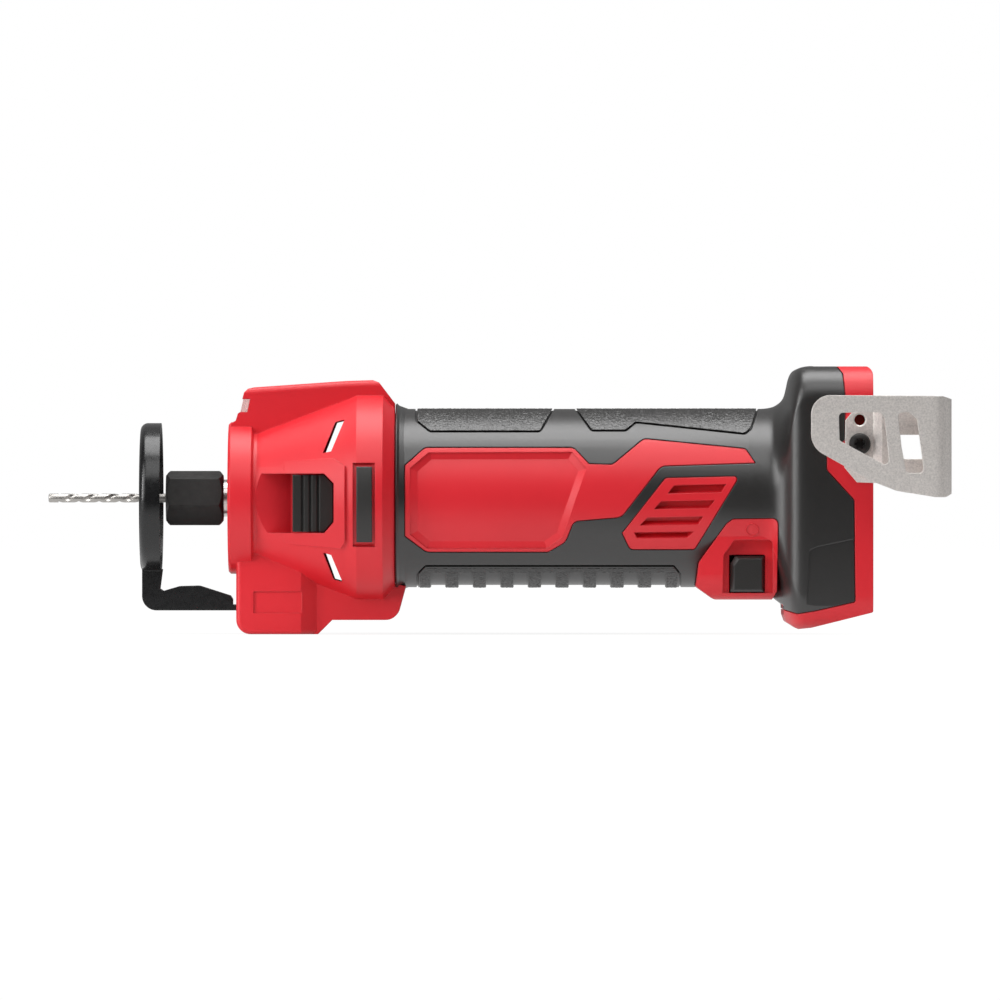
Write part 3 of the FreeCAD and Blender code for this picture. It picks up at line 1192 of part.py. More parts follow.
def main():
    doc = FreeCAD.newDocument("cut_out_tool")
    dim = make_sheet(doc)
    outer = handle_envelope(dim, 0.0)
    inner = handle_envelope(dim, float(dim.skin_thickness))
    make_housing(doc, dim, outer, inner, exposed_zones(0.0))
    make_grips(doc, dim, outer, inner, exposed_zones(float(dim.seam_gap)))
    make_housing_screws(doc)
    make_nose_housing(doc, dim)
    make_side_pads(doc, dim)
    make_work_light(doc)
    make_motor_frame(doc, dim)
    make_brushes(doc)
    make_bearing(doc, dim, "front_bearing", dim.front_bearing_ahead, dim.bearing_outer_radius)
    make_bearing(doc, dim, "rear_bearing", dim.rear_bearing_ahead, dim.rear_bearing_radius)
    make_electrics(doc)
    make_belt_clip(doc, dim)
    make_clip_screw(doc, dim)
    make_clip_inserts(doc, dim)
    make_shaft(doc, dim)
    make_rotor(doc, dim)
    make_fan(doc, dim)
    make_lock_collar(doc, dim)
    make_collet(doc, dim)
    make_collet_nut(doc, dim)
    make_bit(doc, dim)
    make_depth_guide(doc, dim)
    make_lock_lever(doc, dim)
    make_lock_button(doc, dim)
    make_power_button(doc)
    doc.recompute()
    check_and_write(doc)


main()
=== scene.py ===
# %% [markdown]
# # A cordless drywall cut-out tool, dressed for its picture
# The solids of the tool are made elsewhere and come in as a fixed frame, each piece at its
# real place in metres. Here they get their finishes, and the fine things that a solid model
# leaves out are modelled around them: the bit's flutes, the pebbled grip pads, the marks by
# the switch. X runs along the tool with the bit to -X, Z is up, and the photo looks along +Y.

# %% Load the solids
import bpy
import math
import json
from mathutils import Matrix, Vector


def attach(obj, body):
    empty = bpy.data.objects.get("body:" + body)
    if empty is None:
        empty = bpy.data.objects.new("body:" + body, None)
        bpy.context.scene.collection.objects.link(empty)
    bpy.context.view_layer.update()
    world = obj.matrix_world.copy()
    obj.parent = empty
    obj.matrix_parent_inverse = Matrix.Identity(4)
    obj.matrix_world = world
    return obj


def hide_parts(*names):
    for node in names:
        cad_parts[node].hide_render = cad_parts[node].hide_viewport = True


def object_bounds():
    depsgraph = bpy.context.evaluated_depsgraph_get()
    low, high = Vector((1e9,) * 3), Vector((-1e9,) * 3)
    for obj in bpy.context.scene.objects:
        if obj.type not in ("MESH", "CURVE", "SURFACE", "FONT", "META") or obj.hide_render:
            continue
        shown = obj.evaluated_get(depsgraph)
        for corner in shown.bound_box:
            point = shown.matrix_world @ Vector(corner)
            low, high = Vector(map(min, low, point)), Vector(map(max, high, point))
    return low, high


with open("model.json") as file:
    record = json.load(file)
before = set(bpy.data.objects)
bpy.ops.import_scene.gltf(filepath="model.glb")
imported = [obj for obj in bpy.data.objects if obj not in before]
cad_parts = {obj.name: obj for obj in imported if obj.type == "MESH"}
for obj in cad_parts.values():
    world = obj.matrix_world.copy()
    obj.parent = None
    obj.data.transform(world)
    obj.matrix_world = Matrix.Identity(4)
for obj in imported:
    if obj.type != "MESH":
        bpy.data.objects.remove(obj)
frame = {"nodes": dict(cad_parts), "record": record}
solid_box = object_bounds()
nodes = frame["nodes"]
print("pieces that came in:", len(nodes))

# %% [markdown]
# ## Units and small helpers
# The solids are in metres, but a tool maker thinks in millimetres, so one constant turns one
# into the other. Every new material starts from the Principled shader, and the helpers below
# only save typing: they add a node, set its inputs, and link what is given as a socket.

# %% Millimetres and node helpers
MM = 0.001


def add_node(tree, kind, settings=None, **inputs):
    node = tree.nodes.new("ShaderNode" + kind)
    for name, value in (settings or {}).items():
        setattr(node, name, value)
    for name, value in inputs.items():
        feed(tree, node, name, value)
    return node


def feed(tree, node, name, value):
    """Sets an input by its name, written with _ for a space, or links a socket to it."""
    plain = name.replace("_", " ")
    socket = node.inputs[int(name[1:])] if name[1:].isdigit() else node.inputs[plain]
    if isinstance(value, bpy.types.NodeSocket):
        tree.links.new(value, socket)
    else:
        socket.default_value = value


def math_node(tree, operation, first, second=0.5):
    return add_node(tree, "Math", {"operation": operation}, i0=first, i1=second).outputs[0]


def noise(tree, place, scale, detail=2.0, roughness=0.5):
    node = add_node(tree, "TexNoise", Vector=place, Scale=scale, Detail=detail, Roughness=roughness)
    return node.outputs["Fac"]


def between(tree, factor, low, high, from_low=0.3, from_high=0.7):
    """Spreads a 0 to 1 pattern over a range, such as a roughness."""
    node = add_node(tree, "MapRange", Value=factor, From_Min=from_low, From_Max=from_high,
                    To_Min=low, To_Max=high)
    return node.outputs["Result"]


def mix_colours(tree, factor, first, second):
    node = add_node(tree, "Mix", {"data_type": "RGBA"}, i0=factor, i6=first, i7=second)
    return node.outputs[2]


def drift_colour(tree, shader, pattern, first, second):
    """Lets the base colour drift from the first colour to the second along a pattern."""
    mixed = mix_colours(tree, between(tree, pattern, 0.0, 1.0), (*first, 1), (*second, 1))
    feed(tree, shader, "Base_Color", mixed)


def bump(tree, height, strength, distance, under):
    """Adds fine relief to the normal of the rounded edges."""
    node = add_node(tree, "Bump", Height=height, Strength=strength, Distance=distance, Normal=under)
    return node.outputs["Normal"]


print("helpers ready")

# %% [markdown]
# ## The camera
# The photo was taken square on from far away, so that near and far parts are almost the same
# size. The picture is 1000 pixels wide, and 2.777 of them are one millimetre at the spindle.

# %% Camera
PIXELS_PER_MM = 2.777
PICTURE_WIDTH = 1000 / PIXELS_PER_MM * MM
CAMERA_DISTANCE = 4.2
CAMERA_X, CAMERA_Z = (-133.2 * MM, -0.7 * MM)
camera_data = bpy.data.cameras.new("photo_camera")
camera = bpy.data.objects.new("photo_camera", camera_data)
bpy.context.scene.collection.objects.link(camera)
bpy.context.scene.camera = camera
camera_data.sensor_width = 36
camera_data.lens = camera_data.sensor_width * CAMERA_DISTANCE / PICTURE_WIDTH
camera_data.clip_end = 50
camera.location = (CAMERA_X, -CAMERA_DISTANCE, CAMERA_Z)
camera.rotation_euler = (math.radians(90), 0, 0)
print("lens", round(camera_data.lens), "mm")

# %% [markdown]
# ## Moulded red plastic
# Glass-filled nylon from a lightly spark-eroded mould. It isn't glossy: broad soft highlights
# turn its slanted faces pinkish. The real mouldings have small rounds on every edge, which the
# solids leave sharp, so the Bevel node rounds the shading there. Two noises vary the finish:
# a slow one for the colour and a fine one for the mould's grain.

# %% Red plastic
EDGE_ROUND = 0.45 * MM
BEVEL_SAMPLES = 6
SEAM_HALF_WIDTH = 0.07 * MM
SEAM_DEPTH = 3.0


def start_material(name, base_color, roughness, metallic=0.0, edge_round=EDGE_ROUND):
    """A Principled material with rounded edges; returns the parts that finishes add to."""
    material = bpy.data.materials.new(name)
    material.use_nodes = True
    tree = material.node_tree
    shader = tree.nodes["Principled BSDF"]
    shader.inputs["Base Color"].default_value = (*base_color, 1)
    shader.inputs["Roughness"].default_value = roughness
    shader.inputs["Metallic"].default_value = metallic
    place = add_node(tree, "TexCoord").outputs["Object"]
    rounded = add_node(tree, "Bevel", {"samples": BEVEL_SAMPLES}, Radius=edge_round).outputs["Normal"]
    return material, tree, shader, place, rounded


def seam_mask(tree, place):
    """1 on the parting line between the two clamshell halves, where Y is 0."""
    across = add_node(tree, "SeparateXYZ", Vector=place).outputs["Y"]
    away = math_node(tree, "ABSOLUTE", across)
    return math_node(tree, "LESS_THAN", away, SEAM_HALF_WIDTH)


def moulded_plastic(name, light, dark, rough, grain=0.12, edge_round=EDGE_ROUND):
    """Satin plastic out of an eroded mould: slow colour drift, fine grain, a parting line."""
    material, tree, shader, place, rounded = start_material(name, light, rough, 0.0, edge_round)
    slow = noise(tree, place, 28.0, 3.0)
    drift_colour(tree, shader, slow, light, dark)
    fine = noise(tree, place, 3200.0, 2.0)
    feed(tree, shader, "Roughness", between(tree, fine, rough - 0.05, rough + 0.05))
    seam = math_node(tree, "MULTIPLY", seam_mask(tree, place), SEAM_DEPTH)
    height = math_node(tree, "SUBTRACT", fine, seam)
    feed(tree, shader, "Normal", bump(tree, height, grain, 0.05 * MM, rounded))
    return material


red_plastic = moulded_plastic("red_plastic", (0.70, 0.0150, 0.026), (0.65, 0.0125, 0.022), 0.42)
print("made", red_plastic.name)

# %% [markdown]
# ## Black overmould, rubber and hard black plastic
# The overmould is a soft elastomer: almost black, with wide dull highlights that a slightly
# raised specular level keeps bright. The rubber inserts and the hard black pieces are a shade
# paler, with wider rounds on their edges.

# %% Black finishes
OVERMOULD_SPECULAR = 0.85
black_overmould = moulded_plastic("black_overmould", (0.0135, 0.0125, 0.012),
                                  (0.0115, 0.0105, 0.010), 0.37, 0.2)
overmould_shader = black_overmould.node_tree.nodes["Principled BSDF"]
overmould_shader.inputs["Specular IOR Level"].default_value = OVERMOULD_SPECULAR
black_rubber = moulded_plastic("black_rubber", (0.030, 0.029, 0.028),
                               (0.024, 0.023, 0.022), 0.42, 0.15, 0.9 * MM)
black_plastic = moulded_plastic("black_plastic", (0.022, 0.021, 0.020),
                                (0.017, 0.016, 0.015), 0.38, 0.1, 0.6 * MM)
print("made", black_overmould.name, black_rubber.name, black_plastic.name)

# %% [markdown]
# ## Metals
# The foot is dipped in thick gloss enamel, whose film pools and ripples slightly. The nut is
# black oxide. The clip is tumbled steel: a fine even speckle with no direction. Turned parts
# get rings around the spindle, drawn by a wave that runs along X.

# %% Enamel, oxide and steels


def enamel(name, colour):
    material, tree, shader, place, rounded = start_material(name, colour, 0.26, 0.0, 0.5 * MM)
    shader.inputs["Coat Weight"].default_value = 0.12
    shader.inputs["Coat Roughness"].default_value = 0.10
    ripple = noise(tree, place, 150.0, 2.0)
    feed(tree, shader, "Roughness", between(tree, noise(tree, place, 700.0), 0.24, 0.32))
    feed(tree, shader, "Normal", bump(tree, ripple, 0.25, 0.4 * MM, rounded))
    return material


def oxide(name, colour, rough):
    material, tree, shader, place, rounded = start_material(name, colour, rough, 0.35)
    mottled = noise(tree, place, 260.0, 4.0, 0.6)
    darker = tuple(0.6 * part for part in colour)
    drift_colour(tree, shader, mottled, colour, darker)
    feed(tree, shader, "Roughness", between(tree, mottled, rough - 0.06, rough + 0.08))
    feed(tree, shader, "Normal", bump(tree, noise(tree, place, 2600.0), 0.1, 0.03 * MM, rounded))
    return material


def tumbled_steel(name, colour, rough):
    material, tree, shader, place, rounded = start_material(name, colour, rough, 0.35)
    speckle = noise(tree, place, 1500.0, 3.0, 0.7)
    darker = tuple(0.72 * part for part in colour)
    drift_colour(tree, shader, speckle, darker, colour)
    feed(tree, shader, "Roughness", between(tree, speckle, rough - 0.08, rough + 0.08))
    feed(tree, shader, "Normal", bump(tree, speckle, 0.25, 0.05 * MM, rounded))
    return material


def turned_steel(name, colour, rough, ring_scale=900.0):
    material, tree, shader, place, rounded = start_material(name, colour, rough, 1.0, 0.2 * MM)
    rings = add_node(tree, "TexWave", {"wave_type": "BANDS", "bands_direction": "X"}, Vector=place,
                     Scale=ring_scale, Distortion=1.5, Detail=2.0).outputs["Fac"]
    feed(tree, shader, "Roughness", between(tree, rings, rough - 0.05, rough + 0.08, 0.0, 1.0))
    feed(tree, shader, "Normal", bump(tree, rings, 0.06, 0.03 * MM, rounded))
    return material


black_enamel = enamel("black_enamel", (0.004, 0.004, 0.0045))
blackened_steel = oxide("blackened_steel", (0.026, 0.025, 0.024), 0.42)
clip_steel = tumbled_steel("clip_steel", (0.92, 0.87, 0.83), 0.40)
spindle_steel = turned_steel("spindle_steel", (0.66, 0.64, 0.62), 0.26)
bit_steel = turned_steel("bit_steel", (0.42, 0.405, 0.385), 0.34, 500.0)
bearing_steel = turned_steel("bearing_steel", (0.62, 0.62, 0.62), 0.18)
motor_steel = turned_steel("motor_steel", (0.42, 0.42, 0.43), 0.38, 300.0)
print("made the metals")

# %% [markdown]
# ## Copper, brass, carbon, magnet and board
# These are inside, and show only through the vents, the bay and the pocket. They still get
# what the real ones have: drawn or machined metal, dull ceramic, and a board's solder mask.

# %% Inner finishes


def plain_pattern(name, colour, rough, metallic, scale, depth, bump_strength=0.15):
    """A finish whose colour and roughness follow one noise."""
    material, tree, shader, place, rounded = start_material(name, colour, rough, metallic, 0.2 * MM)
    pattern = noise(tree, place, scale, 3.0)
    darker = tuple(depth * part for part in colour)
    drift_colour(tree, shader, pattern, darker, colour)
    feed(tree, shader, "Roughness", between(tree, pattern, rough - 0.05, rough + 0.08))
    feed(tree, shader, "Normal", bump(tree, pattern, bump_strength, 0.05 * MM, rounded))
    return material


brass = plain_pattern("brass", (0.70, 0.50, 0.20), 0.28, 1.0, 900.0, 0.85)
copper = plain_pattern("copper", (0.75, 0.36, 0.22), 0.30, 1.0, 700.0, 0.8)
carbon = plain_pattern("carbon", (0.022, 0.022, 0.022), 0.60, 0.0, 1800.0, 0.6)
magnet_ferrite = plain_pattern("magnet_ferrite", (0.05, 0.05, 0.05), 0.55, 0.0, 1200.0, 0.7)
circuit_board = plain_pattern("circuit_board", (0.02, 0.12, 0.05), 0.35, 0.0, 400.0, 0.7)
print("made the inner finishes")

# %% [markdown]
# ## The work light's lens
# Clear plastic with a frosted back, so it looks milky. Its pink base colour is a painted reflection of the
# red housing around it.

# %% Lens
# The pink in this base colour is painted: a painted reflection of the red housing around the lens, laid over
# its milky frost.
lens_milk_and_painted_red = (0.95, 0.62, 0.60)
clear_lens, lens_tree, lens_shader, lens_place, lens_edges = start_material("clear_lens", lens_milk_and_painted_red, 0.22)
lens_shader.inputs["Transmission Weight"].default_value = 0.55
lens_shader.inputs["IOR"].default_value = 1.49
frost = noise(lens_tree, lens_place, 1800.0)
feed(lens_tree, lens_shader, "Roughness", between(lens_tree, frost, 0.15, 0.32))
feed(lens_tree, lens_shader, "Normal", bump(lens_tree, frost, 0.1, 0.04 * MM, lens_edges))
print("made", clear_lens.name)

# %% [markdown]
# ## Dress the solids
# The record names a finish for every solid, so one loop gives each its material.

# %% Materials onto the solids
FINISHES = {
    "red_plastic": red_plastic, "black_overmould": black_overmould, "black_rubber": black_rubber,
    "black_plastic": black_plastic, "black_enamel": black_enamel, "blackened_steel": blackened_steel,
    "clip_steel": clip_steel, "spindle_steel": spindle_steel, "bit_steel": bit_steel,
    "bearing_steel": bearing_steel, "motor_steel": motor_steel, "magnet_ferrite": magnet_ferrite,
    "carbon": carbon, "brass": brass, "copper": copper, "clear_lens": clear_lens,
    "circuit_board": circuit_board,
}
for row in frame["record"]["subparts"]:
    solid = nodes[row["node"]]
    solid.data.materials.clear()
    solid.data.materials.append(FINISHES[row["material_slot"]])
print("dressed", len(nodes), "solids")

# %% [markdown]
# ## Tools for modelling the small pieces
# Small pieces are made in edit mode, around the world's origin, so that a finished object needs
# no turn or scale. `pick` marks points by a test on their place, `cut_away` trims a piece with
# planes, and `finish_piece` gives it a material and a body to ride on.

# %% Modelling helpers
mesh_ops = bpy.ops.mesh
SMOOTH_BELOW = math.radians(32)


def start_piece(add, name, **settings):
    """Adds a primitive by its operator and names it."""
    bpy.ops.object.select_all(action="DESELECT")
    add(**settings)
    piece = bpy.context.active_object
    piece.name = name
    return piece


def activate(piece):
    bpy.ops.object.select_all(action="DESELECT")
    bpy.context.view_layer.objects.active = piece
    piece.select_set(True)


def edit(piece):
    activate(piece)
    bpy.ops.object.mode_set(mode="EDIT")
    mesh_ops.select_all(action="SELECT")


def leave():
    bpy.ops.object.mode_set(mode="OBJECT")


def pick(piece, test):
    """Selects just the points whose place passes the test, and opens edit mode."""
    edit(piece)
    mesh_ops.select_mode(type="VERT")
    mesh_ops.select_all(action="DESELECT")
    leave()
    for vertex in piece.data.vertices:
        vertex.select = test(vertex.co)
    bpy.ops.object.mode_set(mode="EDIT")


def cut_away(piece, point, outward):
    """Cuts the piece with a plane and keeps the side the normal points away from."""
    edit(piece)
    mesh_ops.bisect(plane_co=point, plane_no=outward, clear_outer=True)
    leave()


def apply(piece, kind, **settings):
    """Adds a modifier and applies it."""
    activate(piece)
    modifier = piece.modifiers.new(kind.lower(), kind)
    for name, value in settings.items():
        setattr(modifier, name, value)
    bpy.ops.object.modifier_apply(modifier=modifier.name)


def join(name, *pieces):
    bpy.ops.object.select_all(action="DESELECT")
    for piece in pieces:
        piece.select_set(True)
    bpy.context.view_layer.objects.active = pieces[0]
    bpy.ops.object.join()
    pieces[0].name = name
    return pieces[0]


def finish_piece(piece, body, material):
    edit(piece)
    mesh_ops.normals_make_consistent(inside=False)
    leave()
    bpy.ops.object.shade_smooth_by_angle(angle=SMOOTH_BELOW)
    piece.data.materials.clear()
    piece.data.materials.append(material)
    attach(piece, body)


print("modelling helpers ready")

# %% [markdown]
# ## The spiral bit
# A 1/8 inch cut-out bit: a plain pilot tip, two flutes that wind to the left, and a plain
# shank in the collet. Its cross-section is a circle with two hollows, wound by a Screw modifier.

# %% Bit
BIT_RADIUS = 1.585 * MM
BIT_TIP, FLUTES_FRONT, FLUTES_REAR, SHANK_END = (-295.7 * MM, -292.2 * MM, -262.0 * MM, -232.25 * MM)
FLUTE_LEAD = 14.6 * MM
SECTION_POINTS = 32
# Each pair draws in the points within so many degrees of the section's top and bottom.
FLUTE_CUTS = ((38, 0.84), (26, 0.74), (14, 0.84))
FLUTE_STEPS = 120
TIP_FACE = 0.1 * MM
TIP_BEVEL = 0.5 * MM


def lay_along_x(piece, middle):
    """Turns a piece made around Z so that it lies along X."""
    edit(piece)
    bpy.ops.transform.rotate(value=math.radians(90), orient_axis="Y", center_override=(0, 0, 0))
    bpy.ops.transform.translate(value=(middle, 0, 0))
    leave()


def bar(name, first, last):
    """A closed round bar along X, as thick as the bit."""
    piece = start_piece(mesh_ops.primitive_cylinder_add, name, vertices=SECTION_POINTS,
                        radius=BIT_RADIUS, depth=last - first)
    lay_along_x(piece, (first + last) / 2)
    return piece


tip = bar("bit_tip", BIT_TIP, FLUTES_FRONT)
pick(tip, lambda place: place.x < BIT_TIP + TIP_FACE)
mesh_ops.bevel(offset=TIP_BEVEL, segments=2, affect="EDGES")
leave()
shank = bar("bit_shank", FLUTES_REAR, SHANK_END)

fluted = start_piece(mesh_ops.primitive_circle_add, "bit_flutes", vertices=SECTION_POINTS,
                     radius=BIT_RADIUS)
lay_along_x(fluted, FLUTES_FRONT)
for half_angle, depth in FLUTE_CUTS:
    cosine = math.cos(math.radians(half_angle))
    pick(fluted, lambda place: abs(place.z) > cosine * math.hypot(place.y, place.z))
    bpy.ops.transform.resize(value=(1, depth, depth), center_override=(FLUTES_FRONT, 0, 0))
    leave()
turns = (FLUTES_REAR - FLUTES_FRONT) / FLUTE_LEAD
apply(fluted, "SCREW", axis="X", angle=-2 * math.pi * turns, screw_offset=FLUTES_REAR - FLUTES_FRONT,
      steps=FLUTE_STEPS, render_steps=FLUTE_STEPS, use_smooth_shade=False)
edit(fluted)
mesh_ops.fill_holes(sides=0)
leave()
bit = join("spiral_bit", fluted, tip, shank)
finish_piece(bit, "spindle", bit_steel)
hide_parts("cutting_bit")
print("bit faces:", len(bit.data.polygons))

# %% [markdown]
# ## Pebbled grip pads
# The two pads on top of the grip and the finger blocks below have a pebbled skin. Each patch is
# a row of points spun about the spindle, laid on the moulded grip, trimmed to the pad's outline
# and roughened by a fine cloud texture. They come in halves, as the two mouldings do.

# %% Pads and finger blocks
CELL = 0.26 * MM
SKIN = 32.9 * MM
PAD_LIFT = 0.06 * MM
PAD_INSET = 0.85
PEBBLE_HEIGHT = 0.17 * MM
# Arcs are in degrees off the top, on either side.
PAD_ARC, RAIL_ARC, BLOCK_ARC, VENT_ARC = ((0.15, 46), (140.8, 145.0), (145.3, 179.8), (79.0, 121.5))
HALVES = ((-1, "left"), (1, "right"))
pebbles = bpy.data.textures.new("pebbles", "CLOUDS")
pebbles.noise_scale = 0.00042
pebbles.noise_depth = 1
pebbles.contrast = 3.0


def spun_patch(name, span, side, arc, radius=SKIN):
    """A grid on the grip's skin, over a span of X in millimetres and an arc off the top."""
    first_x, last_x = (x * MM for x in span)
    from_angle, to_angle = arc
    columns = max(2, round((last_x - first_x) / CELL))
    patch = start_piece(mesh_ops.primitive_grid_add, name, x_subdivisions=columns, y_subdivisions=1, size=1)
    pick(patch, lambda place: place.y > 0)
    mesh_ops.delete(type="VERT")
    mesh_ops.select_all(action="SELECT")
    bpy.ops.transform.resize(value=(last_x - first_x, 1, 1), center_override=(0, 0, 0))
    bpy.ops.transform.translate(value=((first_x + last_x) / 2, 0.5, radius))
    bpy.ops.transform.rotate(value=side * math.radians(from_angle), orient_axis="X",
                             center_override=(0, 0, 0))
    sweep = math.radians(to_angle - from_angle)
    mesh_ops.spin(steps=round(sweep * radius / CELL), angle=side * sweep, center=(0, 0, 0), axis=(1, 0, 0))
    leave()
    return patch


def trimmed(patch, corners):
    """Keeps what lies above each line through two neighbouring corners, in (X, Z) millimetres."""
    for (x, z), (next_x, next_z) in zip(corners, corners[1:]):
        along = Vector((next_x - x, 0, next_z - z)).normalized()
        below = Vector((along.z, 0, -along.x))
        start = Vector((x, 0, z)) - below * PAD_INSET
        cut_away(patch, start * MM, below)
    return patch


def laid_on(patch, side):
    """Lays a patch on its half of the grip, a little proud of it."""
    grip_half = nodes["left_grip" if side < 0 else "right_grip"]
    apply(patch, "SHRINKWRAP", target=grip_half, wrap_method="NEAREST_SURFACEPOINT",
          wrap_mode="ABOVE_SURFACE", offset=PAD_LIFT)
    return patch


def roughened(name, side, patches):
    """Joins patches into one skin and gives it its pebbles."""
    skin = join(name, *[laid_on(patch, side) for patch in patches])
    edit(skin)
    mesh_ops.normals_make_consistent(inside=False)
    leave()
    apply(skin, "DISPLACE", texture=pebbles, texture_coords="LOCAL",
          strength=PEBBLE_HEIGHT, mid_level=0.5)
    finish_piece(skin, "housing", black_overmould)
    print(skin.name, len(skin.data.polygons))


# Each pad has its name, its span of X and its outline's corners, in (X, Z) millimetres.
PADS = (
    ("front_pad", (-163.8, -103.4),
     [(-163.8, 50.0), (-163.6, 27.7), (-158.4, 23.5), (-118.6, 23.5), (-103.4, 50.0)]),
    ("rear_pad", (-118.9, -84.4), [(-118.9, 50.0), (-100.6, 23.8), (-88.0, 23.8), (-84.4, 26.8)]),
    ("rear_pad_high", (-84.4, -36.0), [(-84.4, 26.8), (-45.4, 22.6), (-43.0, 24.6), (-33.9, 50.0)]),
)
RAIL_AND_ENDS = (
    ("rib_rail", (-160.3, -70.6), RAIL_ARC),
    ("front_block", (-162.0, -158.3), BLOCK_ARC),
    ("rear_block", (-73.4, -69.6), BLOCK_ARC),
)
FIRST_BLOCK, BLOCK_WIDTH, RIB_PITCH, BLOCKS = -152.6, 4.3, 9.9, 8
for side, half in HALVES:
    pads = [trimmed(spun_patch(name, span, side, PAD_ARC), corners) for name, span, corners in PADS]
    roughened(half + "_pad_skin", side, pads)
    blocks = [spun_patch(name, span, side, arc) for name, span, arc in RAIL_AND_ENDS]
    for number in range(BLOCKS):
        front = FIRST_BLOCK + number * RIB_PITCH
        blocks.append(spun_patch("block", (front, front + BLOCK_WIDTH), side, BLOCK_ARC))
    roughened(half + "_rib_skin", side, blocks)

# %% [markdown]
# ## Marks by the switch
# The pod carries a raised ring on the near side, which stands for off, and a raised bar on the
# far side, which stands for on. Both lie on the curved skin, tilted as it is there.

# %% Marks
MARK_X, MARK_SIDE, MARK_Z, MARK_TILT = (-43.0 * MM, 30.48 * MM, -11.3 * MM, math.radians(108.5))
RING_RADIUS, RING_THICKNESS = (2.18 * MM, 0.20 * MM)
BAR_SIZE = (0.5 * MM, 4.4 * MM, 0.4 * MM)


def set_on_pod(mark, side):
    edit(mark)
    bpy.ops.transform.rotate(value=side * MARK_TILT, orient_axis="X", center_override=(0, 0, 0))
    bpy.ops.transform.translate(value=(MARK_X, side * MARK_SIDE, MARK_Z))
    leave()
    finish_piece(mark, "housing", red_plastic)


ring = start_piece(mesh_ops.primitive_torus_add, "off_ring", major_radius=RING_RADIUS,
                   minor_radius=RING_THICKNESS, major_segments=64, minor_segments=12)
set_on_pod(ring, -1)
stroke = start_piece(mesh_ops.primitive_cube_add, "on_bar", size=1)
edit(stroke)
bpy.ops.transform.resize(value=BAR_SIZE, center_override=(0, 0, 0))
mesh_ops.bevel(offset=0.12 * MM, segments=3, affect="EDGES")
leave()
set_on_pod(stroke, 1)
print("marks:", ring.name, stroke.name)

# %% [markdown]
# ## Baffles behind the vents
# Behind each vent panel a thin red baffle closes the way in, so that the slots show dark red
# plastic, as in the photo, and not the inside. What is really behind them can't be seen.

# %% Baffles
BAFFLE_RADIUS, BAFFLE_WALL = (28.9 * MM, 0.8 * MM)
VENT_SPAN = (-85.6, -51.8)
for side, half in HALVES:
    baffle = spun_patch(half + "_baffle", VENT_SPAN, side, VENT_ARC, BAFFLE_RADIUS)
    apply(baffle, "SOLIDIFY", thickness=BAFFLE_WALL, offset=0)
    finish_piece(baffle, "housing", red_plastic)
print("baffles at radius", round(BAFFLE_RADIUS / MM, 1))

# %% [markdown]
# ## Floor and backdrop
# The tool lies on a flat pale floor. It is plain white to the camera, and in reflections only
# within about 0.2 m of the tool's sides; farther out it is dark, which keeps the black skin
# black. Close under the tool a small share is real shading, which keeps the contact shadow.

# %% Floor
FLOOR_SIZE, FLOOR_MIDDLE = (14, -0.133)
FLOOR_GLOW = 1.02
PALE, DARK = ((0.82, 0.82, 0.82, 1), (0.06, 0.06, 0.06, 1))
NEAR_ENDS, FAR_STARTS = (0.07, 0.22)
CONTACT_ENDS, CONTACT_FADES = (0.015, 0.075)
floor_level = solid_box[0].z
bpy.ops.object.select_all(action="DESELECT")
bpy.ops.mesh.primitive_plane_add(size=FLOOR_SIZE, location=(FLOOR_MIDDLE, 0, floor_level))
floor = bpy.context.active_object
floor.name = "floor"

SHADOW_SHARE = 0.16
pale = bpy.data.materials.new("pale_floor")
pale.use_nodes = True
tree = pale.node_tree
shader = tree.nodes["Principled BSDF"]
shader.inputs["Roughness"].default_value = 0.9
shader.inputs["Specular IOR Level"].default_value = 0.1
glow = add_node(tree, "Emission", Color=(1, 1, 1, 1), Strength=FLOOR_GLOW).outputs[0]
path = add_node(tree, "LightPath")
place = add_node(tree, "TexCoord").outputs["Object"]
aside = math_node(tree, "ABSOLUTE", add_node(tree, "SeparateXYZ", Vector=place).outputs["Y"])
near = between(tree, aside, 1.0, 0.0, NEAR_ENDS, FAR_STARTS)
feed(tree, shader, "Base_Color", mix_colours(tree, near, DARK, PALE))
mirrored = math_node(tree, "MULTIPLY", path.outputs["Is Glossy Ray"], near)
seen = math_node(tree, "MAXIMUM", path.outputs["Is Camera Ray"], path.outputs["Is Transmission Ray"])
seen = math_node(tree, "MAXIMUM", seen, mirrored)
squashed = add_node(tree, "VectorMath", {"operation": "MULTIPLY"}, i0=place, i1=(0.45, 1, 0)).outputs[0]
away = add_node(tree, "VectorMath", {"operation": "LENGTH"}, i0=squashed).outputs["Value"]
contact = between(tree, away, SHADOW_SHARE, 0.0, CONTACT_ENDS, CONTACT_FADES)
share = math_node(tree, "MULTIPLY", seen, math_node(tree, "SUBTRACT", 1.0, contact))
blend = add_node(tree, "MixShader", i0=share, i1=shader.outputs[0], i2=glow).outputs[0]
tree.links.new(blend, tree.nodes["Material Output"].inputs["Surface"])
floor.data.materials.append(pale)
print("floor at", round(floor_level / MM, 1), "mm")

# %% [markdown]
# ## Light
# A wide soft box straight above draws the long highlight on the grip. A tall narrow strip and
# a soft box at the left front light the faces that look forward, and one high in front lifts
# the near side. The room in front stays dark, which keeps the black skin black. The world is
# white to the camera, and only a quarter as bright in reflections from behind the tool.

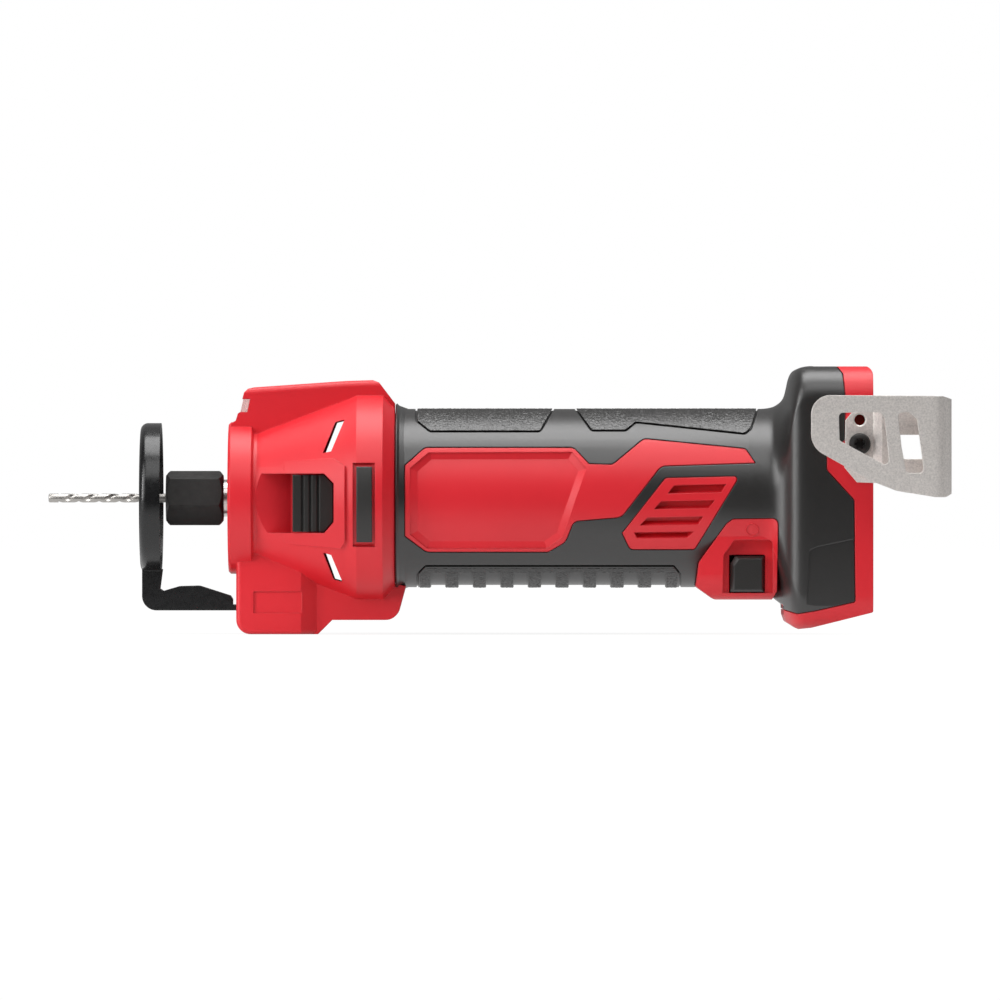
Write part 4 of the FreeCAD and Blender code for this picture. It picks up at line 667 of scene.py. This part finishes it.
# %% World and lamps
ROOM_LIGHT, BACK_SHINE = (0.10, 0.25)
world = bpy.context.scene.world or bpy.data.worlds.new("studio")
bpy.context.scene.world = world
world.use_nodes = True
tree = world.node_tree
backdrop = tree.nodes["Background"]
backdrop.inputs["Color"].default_value = (1, 1, 1, 1)
path = add_node(tree, "LightPath")
direct = math_node(tree, "MAXIMUM", path.outputs["Is Camera Ray"], path.outputs["Is Transmission Ray"])
direction = add_node(tree, "SeparateXYZ", Vector=add_node(tree, "TexCoord").outputs["Generated"]).outputs["Y"]
behind = between(tree, direction, 0.0, 1.0, 0.1, 0.5)
faded = math_node(tree, "MULTIPLY", behind, BACK_SHINE)
mirrored = math_node(tree, "MULTIPLY", path.outputs["Is Glossy Ray"], faded)
seen = math_node(tree, "MAXIMUM", direct, mirrored)
feed(tree, backdrop, "Strength", between(tree, seen, ROOM_LIGHT, 1.0, 0.0, 1.0))


def softbox(name, place, size, brightness):
    """A rectangular lamp aimed at the tool; a brightness of 1 would make its face look white."""
    lamp = bpy.data.lights.new(name, "AREA")
    lamp.shape = "RECTANGLE"
    lamp.size, lamp.size_y = size
    lamp.energy = brightness * math.pi * size[0] * size[1]
    box = bpy.data.objects.new(name, lamp)
    bpy.context.scene.collection.objects.link(box)
    box.location = place
    box.rotation_euler = (Vector(MIDDLE) - Vector(place)).to_track_quat("-Z", "Y").to_euler()


MIDDLE = (-0.13, 0, 0)
# Each lamp has its name, place, size in metres and brightness.
LAMPS = (
    ("key_above", (-0.13, -0.02, 1.0), (1.0, 0.70), 5.4),
    ("left_strip", (-0.90, -0.36, 0.16), (0.08, 0.45), 16.0),
    ("left_front", (-0.85, -0.65, 0.34), (0.5, 0.76), 3.4),
    ("front_high", (0.1, -1.1, 1.25), (1.6, 0.8), 2.4),
)
for lamp_values in LAMPS:
    softbox(*lamp_values)

# %% [markdown]
# ## Finish
# The picture uses the Standard view transform.

# %% View transform
bpy.context.scene.view_settings.view_transform = "Standard"
